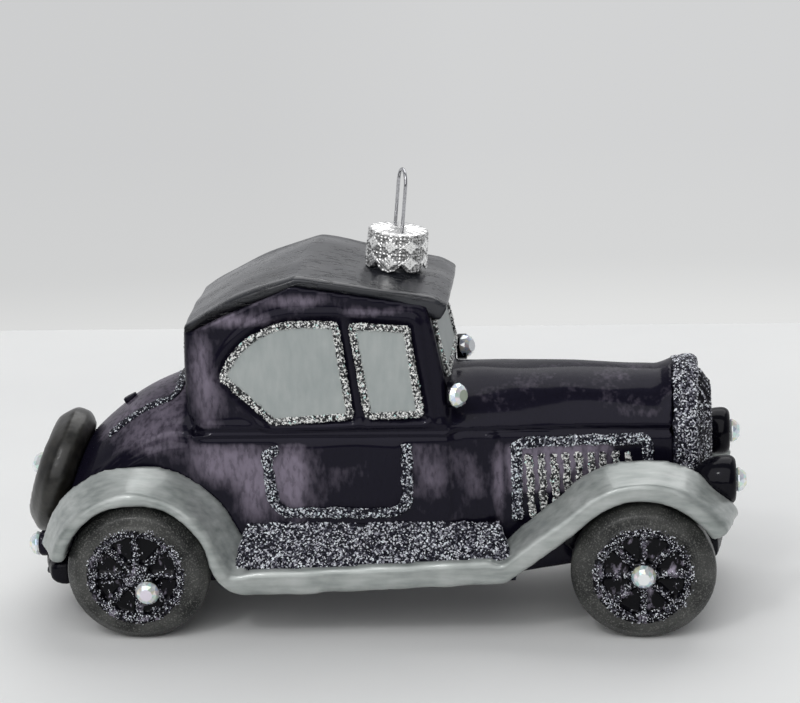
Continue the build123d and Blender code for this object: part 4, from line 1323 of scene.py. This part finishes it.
# %% [markdown]
# Eleven cut stones are glued on. Each has a coloured mirror coating that changes from
# facet to facet, so every facet carries its own random number, and the material turns
# that into pale green, yellow, lilac or blue. The stones are built facet by facet at
# the seats of the frame's plain ones.


# %% Cut stones
def stone_seat(node_name):
    """The middle of a stone's back, and the direction that it faces."""
    points = loose_parts(node_name)[0]
    middle = points.mean(axis=0)
    away = points - middle
    facing = np.linalg.eigh(away.T @ away)[1][:, 0]
    height, radius = around_axis(points, middle, facing)
    if radius[height > 0.8 * height.max()].mean() > radius[height < 0.8 * height.min()].mean():
        facing, height = -facing, -height
    return middle + facing * height.min(), facing


STONE_SIDES = 12
STONE_RINGS = ((2.1, 0.0, 0), (2.3, 0.35, 0), (2.3, 0.6, 0), (1.85, 1.35, 0.5), (1.15, 1.9, 0))


def cut_stone(name, seat, facing, seed):
    """A round stone with a girdle, two rows of facets and a flat table."""
    x_dir = np.cross(facing, [0.31, 0.17, 0.94])
    x_dir /= np.linalg.norm(x_dir)
    y_dir = np.cross(facing, x_dir)
    build = bmesh.new()
    tint = build.faces.layers.float.new("facet")
    rings = []
    for radius, height, shift in STONE_RINGS:
        ring = []
        for k in range(STONE_SIDES):
            turn = 2 * math.pi * (k + shift) / STONE_SIDES
            spoke = math.cos(turn) * x_dir + math.sin(turn) * y_dir
            point = seat + facing * height + radius * spoke
            ring.append(build.verts.new(Vector(point) * MM))
        rings.append(ring)
    build.faces.new(rings[0][::-1])
    build.faces.new(rings[4])
    for k in range(STONE_SIDES):
        n = (k + 1) % STONE_SIDES
        for low, high in ((rings[0], rings[1]), (rings[1], rings[2])):
            build.faces.new((low[k], low[n], high[n], high[k]))
        build.faces.new((rings[2][k], rings[2][n], rings[3][k]))
        build.faces.new((rings[2][n], rings[3][n], rings[3][k]))
        build.faces.new((rings[3][k], rings[4][n], rings[4][k]))
        build.faces.new((rings[3][k], rings[3][n], rings[4][n]))
    bmesh.ops.recalc_face_normals(build, faces=build.faces)
    chance = np.random.default_rng(seed)
    for face in build.faces:
        face[tint] = chance.random()
    return mesh_from(name, build)


def stone_material():
    """Foiled crystal: bright, sharp, and tinted facet by facet."""
    material, tree, shader = new_material("cut crystal", 0.06, 0.45, 1.0, 0.02)
    colour = ramp(
        tree,
        attribute(tree, "facet"),
        (0.0, (0.75, 0.78, 0.8)),
        (0.2, (0.95, 0.97, 0.97)),
        (0.38, (0.6, 0.92, 0.9)),
        (0.52, (0.94, 0.95, 0.68)),
        (0.66, (0.95, 0.8, 0.86)),
        (0.8, (0.64, 0.77, 0.97)),
        (1.0, (0.97, 0.97, 0.95)),
    )
    dress(shader, colour)
    return material


# %% Setting the stones
HAND_SET = {
    "right_rear_hub_crystal": ((2.0, 0, -3.0), (0, 0, 0)),
    "right_cowl_lamp_crystal": ((-0.3, -0.7, 0), (0, -0.75, 0.15)),
    "left_cowl_lamp_crystal": ((-0.6, -0.3, 0.2), (0, -0.55, 0.2)),
}
aurora = stone_material()
stone_names = sorted(name for name in nodes if name.endswith("crystal"))
for number, stone_name in enumerate(stone_names):
    seat, facing = stone_seat(stone_name)
    slip, turned = HAND_SET.get(stone_name, ((0, 0, 0), (0, 0, 0)))
    facing = facing + np.array(turned)
    facing = facing / np.linalg.norm(facing)
    stone = cut_stone("stone_" + stone_name, seat + np.array(slip), facing, 80 + number)
    paint_with(stone, aurora)
    put_on(stone, "car", "cut_crystal", stone_name)
print("stones:", len(stone_names))

# %% [markdown]
# The cap is thin metal stamped in a die: a flared skirt with petals and a pattern of
# small four pointed flowers in rows. It is a shape by rule, so its points are computed
# ring by ring. The pattern lifts the outside by a fifth of a millimetre, and the same
# numbers are stored to make the hollows darker.

# %% Stamped cap
CAP_MIDDLE = np.array([4.7, 0.0, 73.5])
CAP_LEAN = math.radians(6)
CAP_UP = np.array([math.sin(CAP_LEAN), 0, math.cos(CAP_LEAN)])
CAP_FORWARD = np.array([math.cos(CAP_LEAN), 0, -math.sin(CAP_LEAN)])
CAP_SIDE = np.cross(CAP_UP, CAP_FORWARD)
SKIRT = 7.4
PETALS = 7
PETAL_RADIUS = 2.9
SKIRT_RADIUS = 5.95
STAMP_DEPTH = 0.22
TOP_RINGS = [(0.25, 0), (1.5, 0), (2.2, 0), (2.9, 0), (3.6, 0), (4.2, 0), (4.7, 0)]
TOP_RINGS += [(5.1, 0.05), (5.4, 0.2)]


def flower_relief(turn, drop):
    """The stamped pattern from 0 in the hollows to 1 on the ribs."""
    columns, row_height = 9, 3.1
    u = (turn / (2 * math.pi) * columns) % 1 - 0.5
    v = (drop / row_height) % 1 - 0.5
    arm = np.hypot(u, v)
    round_turn = np.arctan2(v, u)
    petals = step(np.abs(np.cos(2 * round_turn)) * 0.42 - arm, -0.06, 0.02) * step(arm, 0.09, 0.13)
    crossed = step(np.abs(np.sin(2 * round_turn)) * 0.3 - arm, -0.05, 0.0)
    heart = 1 - step(arm, 0.03, 0.07)
    pearls = 1 - step(np.abs(np.abs(u) - 0.5), 0.03, 0.06)
    pearls = pearls * step(np.cos(2 * math.pi * drop / 0.62), -0.4, 0.1)
    band = 1 - step(np.abs(np.abs(v) - 0.5), 0.03, 0.06)
    band = band * step(np.cos(5 * columns * turn), -0.4, 0.1)
    return np.clip(np.maximum.reduce([petals, crossed, heart, pearls, band]), 0, 1)


# %% The cap's shape
def cap_mesh():
    """The cup from the middle of its top, out over the skirt and back inside."""
    turns = np.linspace(0, 2 * math.pi, 252, endpoint=False)
    from_petal = (turns / (2 * math.pi) * PETALS + 0.5) % 1 - 0.5
    reach = from_petal * 2 * math.pi * SKIRT_RADIUS / PETALS
    notch = PETAL_RADIUS - np.sqrt(PETAL_RADIUS**2 - reach**2)
    edge = SKIRT - notch
    level = np.ones_like(turns)
    rings = [(radius * level, drop * level, 0.5) for radius, drop in TOP_RINGS]
    for share in np.linspace(0, 1, 46):
        drop = 0.4 + share * (edge - 0.4)
        rings.append((5.7 + 0.25 * drop / SKIRT, drop, 1.0))
    for share in (1.0, 0.9, 0.6, 0.3, 0.0):
        drop = 1.0 + share * (edge - 1.1)
        rings.append((5.3 + 0.25 * drop / SKIRT, drop, 0.0))
    rings.append((4.6 * level, 0.45 * level, 0.0))
    rings.append((0.25 * level, 0.45 * level, 0.0))
    build = bmesh.new()
    hollow = build.verts.layers.float.new("hollow")
    made = []
    for radius, drop, stamped in rings:
        relief = level
        if stamped == 1.0:
            relief = flower_relief(turns, drop - 0.9)
            radius = radius + STAMP_DEPTH * (relief - 1)
        elif stamped:
            rays = 0.6 * np.abs(np.sin(9 * turns)) + 0.4 * np.abs(np.sin(3 * radius))
            relief = 1 - 0.8 * step(rays, 0.45, 0.7)
            drop = drop + 0.15 * (1 - relief)
        across = np.cos(turns)[:, None] * CAP_FORWARD + np.sin(turns)[:, None] * CAP_SIDE
        place = CAP_MIDDLE + radius[:, None] * across - drop[:, None] * CAP_UP
        ring = [build.verts.new(Vector(point) * MM) for point in place]
        for vert, raised in zip(ring, relief):
            vert[hollow] = 1 - raised
        made.append(ring)
    count = len(turns)
    for one, two in zip(made, made[1:] + made[:1]):
        for k in range(count):
            n = (k + 1) % count
            build.faces.new((one[k], one[n], two[n], two[k]))
    bmesh.ops.recalc_face_normals(build, faces=build.faces)
    return mesh_from("stamped_cap", build)


# %% The cap's metal
def cap_metal():
    """Bright stamped metal, dark in the hollows."""
    material, tree, shader = new_material("stamped cap", 0.25, 0.85)
    _, streaks = clouds(tree, 3, 0.4)
    mask = ramp(tree, attribute(tree, "hollow"), (0.45, 0.0), (1.0, 1.0))
    spots = math_node(tree, "MULTIPLY", mask, ramp(tree, streaks, (0.36, 0.25), (0.6, 1.0)))
    colour = mix_colours(tree, spots, (0.93, 0.93, 0.92), (0.12, 0.12, 0.12))
    dress(shader, colour, ramp(tree, mask, (0.0, 0.22), (1.0, 0.42)), streaks, 0.03)
    return material


# %% Cap and loop
cap = cap_mesh()
cap.data.shade_smooth()
paint_with(cap, cap_metal())
put_on(cap, "cap", "stamped_cap", "ornament_cap")
loop = copy_of("turned_wire", "wire_hanger")
loop_turn = Matrix.Rotation(math.radians(6), 3, Vector(CAP_UP))
middle = Vector(CAP_MIDDLE) * MM
for vert in loop.data.vertices:
    vert.co = middle + loop_turn @ (vert.co - middle)
loop.data.shade_smooth()
paint_with(loop, wire_steel)
put_on(loop, "cap", "bright_wire", "wire_hanger")
print("cap faces:", len(cap.data.polygons))
made_triangles = sum(
    sum(len(polygon.vertices) - 2 for polygon in obj.data.polygons)
    for obj in bpy.context.scene.objects
    if obj.type == "MESH" and obj.name not in nodes
)
print("triangles added in all:", made_triangles)

# %% [markdown]
# The stage. The photograph has a pale table whose far edge shows as a soft line, and a
# slightly greyer wall behind it. The floor ends there, and the world gives the wall's
# colour. The room on the camera's side is darker, as it is in a real studio, which is
# what makes dark gloss look black on its upright faces.

# %% Floor and world
FLOOR_BACK = 0.195
FLOOR_REACH = 0.9
floor_mesh = bpy.data.meshes.new("floor")
floor_ends = [(-FLOOR_REACH, -FLOOR_REACH), (FLOOR_REACH, -FLOOR_REACH)]
floor_ends += [(FLOOR_REACH, FLOOR_BACK), (-FLOOR_REACH, FLOOR_BACK)]
floor_mesh.from_pydata([(x, y, 0) for x, y in floor_ends], [], [(0, 1, 2, 3)])
floor = add_object("floor", floor_mesh)


def floor_paper():
    """Matt pale paper with the faintest cloud in it."""
    material, tree, shader = new_material("pale floor", 0.75, 0.0)
    patches, _ = clouds(tree, 60, 5)
    mask = ramp(tree, patches, (0.3, 0.0), (0.7, 1.0))
    dress(shader, mix_colours(tree, mask, (0.8, 0.805, 0.8), (0.84, 0.845, 0.835)))
    return material


paint_with(floor, floor_paper())
print("floor behind the car:", FLOOR_BACK, "m")


# %% The room as a world
def studio_world():
    """The wall behind, a middle grey ceiling and a darker room in front."""
    world = bpy.data.worlds.new("studio")
    bpy.context.scene.world = world
    world.use_nodes = True
    tree = world.node_tree
    background = tree.nodes["Background"]
    direction = node(tree, "ShaderNodeSeparateXYZ")
    tree.links.new(tree.nodes.new("ShaderNodeTexCoord").outputs["Generated"], direction.inputs[0])
    aside, depth, height = direction.outputs
    raised = math_node(tree, "ADD", height, 0.5)
    wall = ramp(
        tree,
        raised,
        (0.236, (0.76, 0.765, 0.76)),
        (0.256, (0.67, 0.675, 0.675)),
        (0.3, (0.645, 0.65, 0.655)),
    )
    sideways = math_node(tree, "ADD", aside, 0.5)
    shade = ramp(tree, sideways, (0.36, 0.95), (0.44, 1.0), (0.56, 1.0), (0.62, 0.96))
    wall = mix_colours(tree, shade, (0.0, 0.0, 0.0), wall)
    facing = math_node(tree, "ADD", math_node(tree, "MULTIPLY", depth, 0.5), 0.5)
    front = ramp(tree, facing, (0.2, (0.1, 0.1, 0.11)), (0.72, (0.62, 0.625, 0.64)))
    overhead = ramp(tree, height, (0.35, 0.0), (0.85, 1.0))
    room = mix_colours(tree, overhead, front, (0.22, 0.225, 0.235))
    seen = tree.nodes.new("ShaderNodeLightPath").outputs["Is Camera Ray"]
    tree.links.new(mix_colours(tree, seen, room, wall), background.inputs["Color"])


studio_world()


# %% [markdown]
# Three lamps light the ornament. A wide one stands in front and above, like a window,
# a smaller one hangs behind for the roof, and a very small one gives the stones and the
# glitter their glints. Area lamps are used because only their size softens a shadow.


# %% Lamps
def soft_lamp(name, place, aim, size, power):
    """A large square lamp that looks at a point."""
    lamp = bpy.data.objects.new(name, bpy.data.lights.new(name, "AREA"))
    bpy.context.scene.collection.objects.link(lamp)
    lamp.data.size = size
    lamp.data.energy = power
    lamp.location = place
    lamp.rotation_euler = (Vector(aim) - Vector(place)).to_track_quat("-Z", "Y").to_euler()


soft_lamp("ceiling lamp", (0.1, 0.55, 0.85), (0, 0, 0.02), 0.9, 4.8)
soft_lamp("window lamp", (-0.3, -1.05, 1.0), (0, 0, 0.03), 1.9, 15.0)
soft_lamp("small lamp", (-0.35, -0.7, 0.9), (0, 0, 0.03), 0.12, 1.2)
print("lamps:", len(bpy.data.lights))

# %% [markdown]
# The camera looks down at the car's right side from a little in front of its middle,
# and is held with a slight roll. Its place is worked out from a target, a distance and
# angles, and its lens from a focal length that is counted in pixels.

# %% Camera
FRAME_WIDTH = 800
FOCAL_PIXELS = 2680
SENSOR_WIDTH = 36
camera_target = Vector((4.17, 0, 49.27)) * MM
camera_distance = 510 * MM
elevation, azimuth, roll = math.radians(16), math.radians(5), math.radians(1.9)
level_away = Vector((math.sin(azimuth), -math.cos(azimuth), 0))
away = level_away * math.cos(elevation) + Vector((0, 0, math.sin(elevation)))
right = (-away).cross(Vector((0, 0, 1))).normalized()
up = right.cross(-away)
view_right = right * math.cos(roll) - up * math.sin(roll)
view_up = up * math.cos(roll) + right * math.sin(roll)
camera = bpy.data.objects.new("camera", bpy.data.cameras.new("camera"))
bpy.context.scene.collection.objects.link(camera)
turned = Matrix((view_right, view_up, away)).transposed()
camera.matrix_world = Matrix.Translation(camera_target + away * camera_distance) @ turned.to_4x4()
camera.data.sensor_width = SENSOR_WIDTH
camera.data.lens = SENSOR_WIDTH * FOCAL_PIXELS / FRAME_WIDTH
bpy.context.scene.camera = camera
bpy.context.scene.view_settings.view_transform = "Standard"
print("lens:", round(camera.data.lens, 1), "mm")
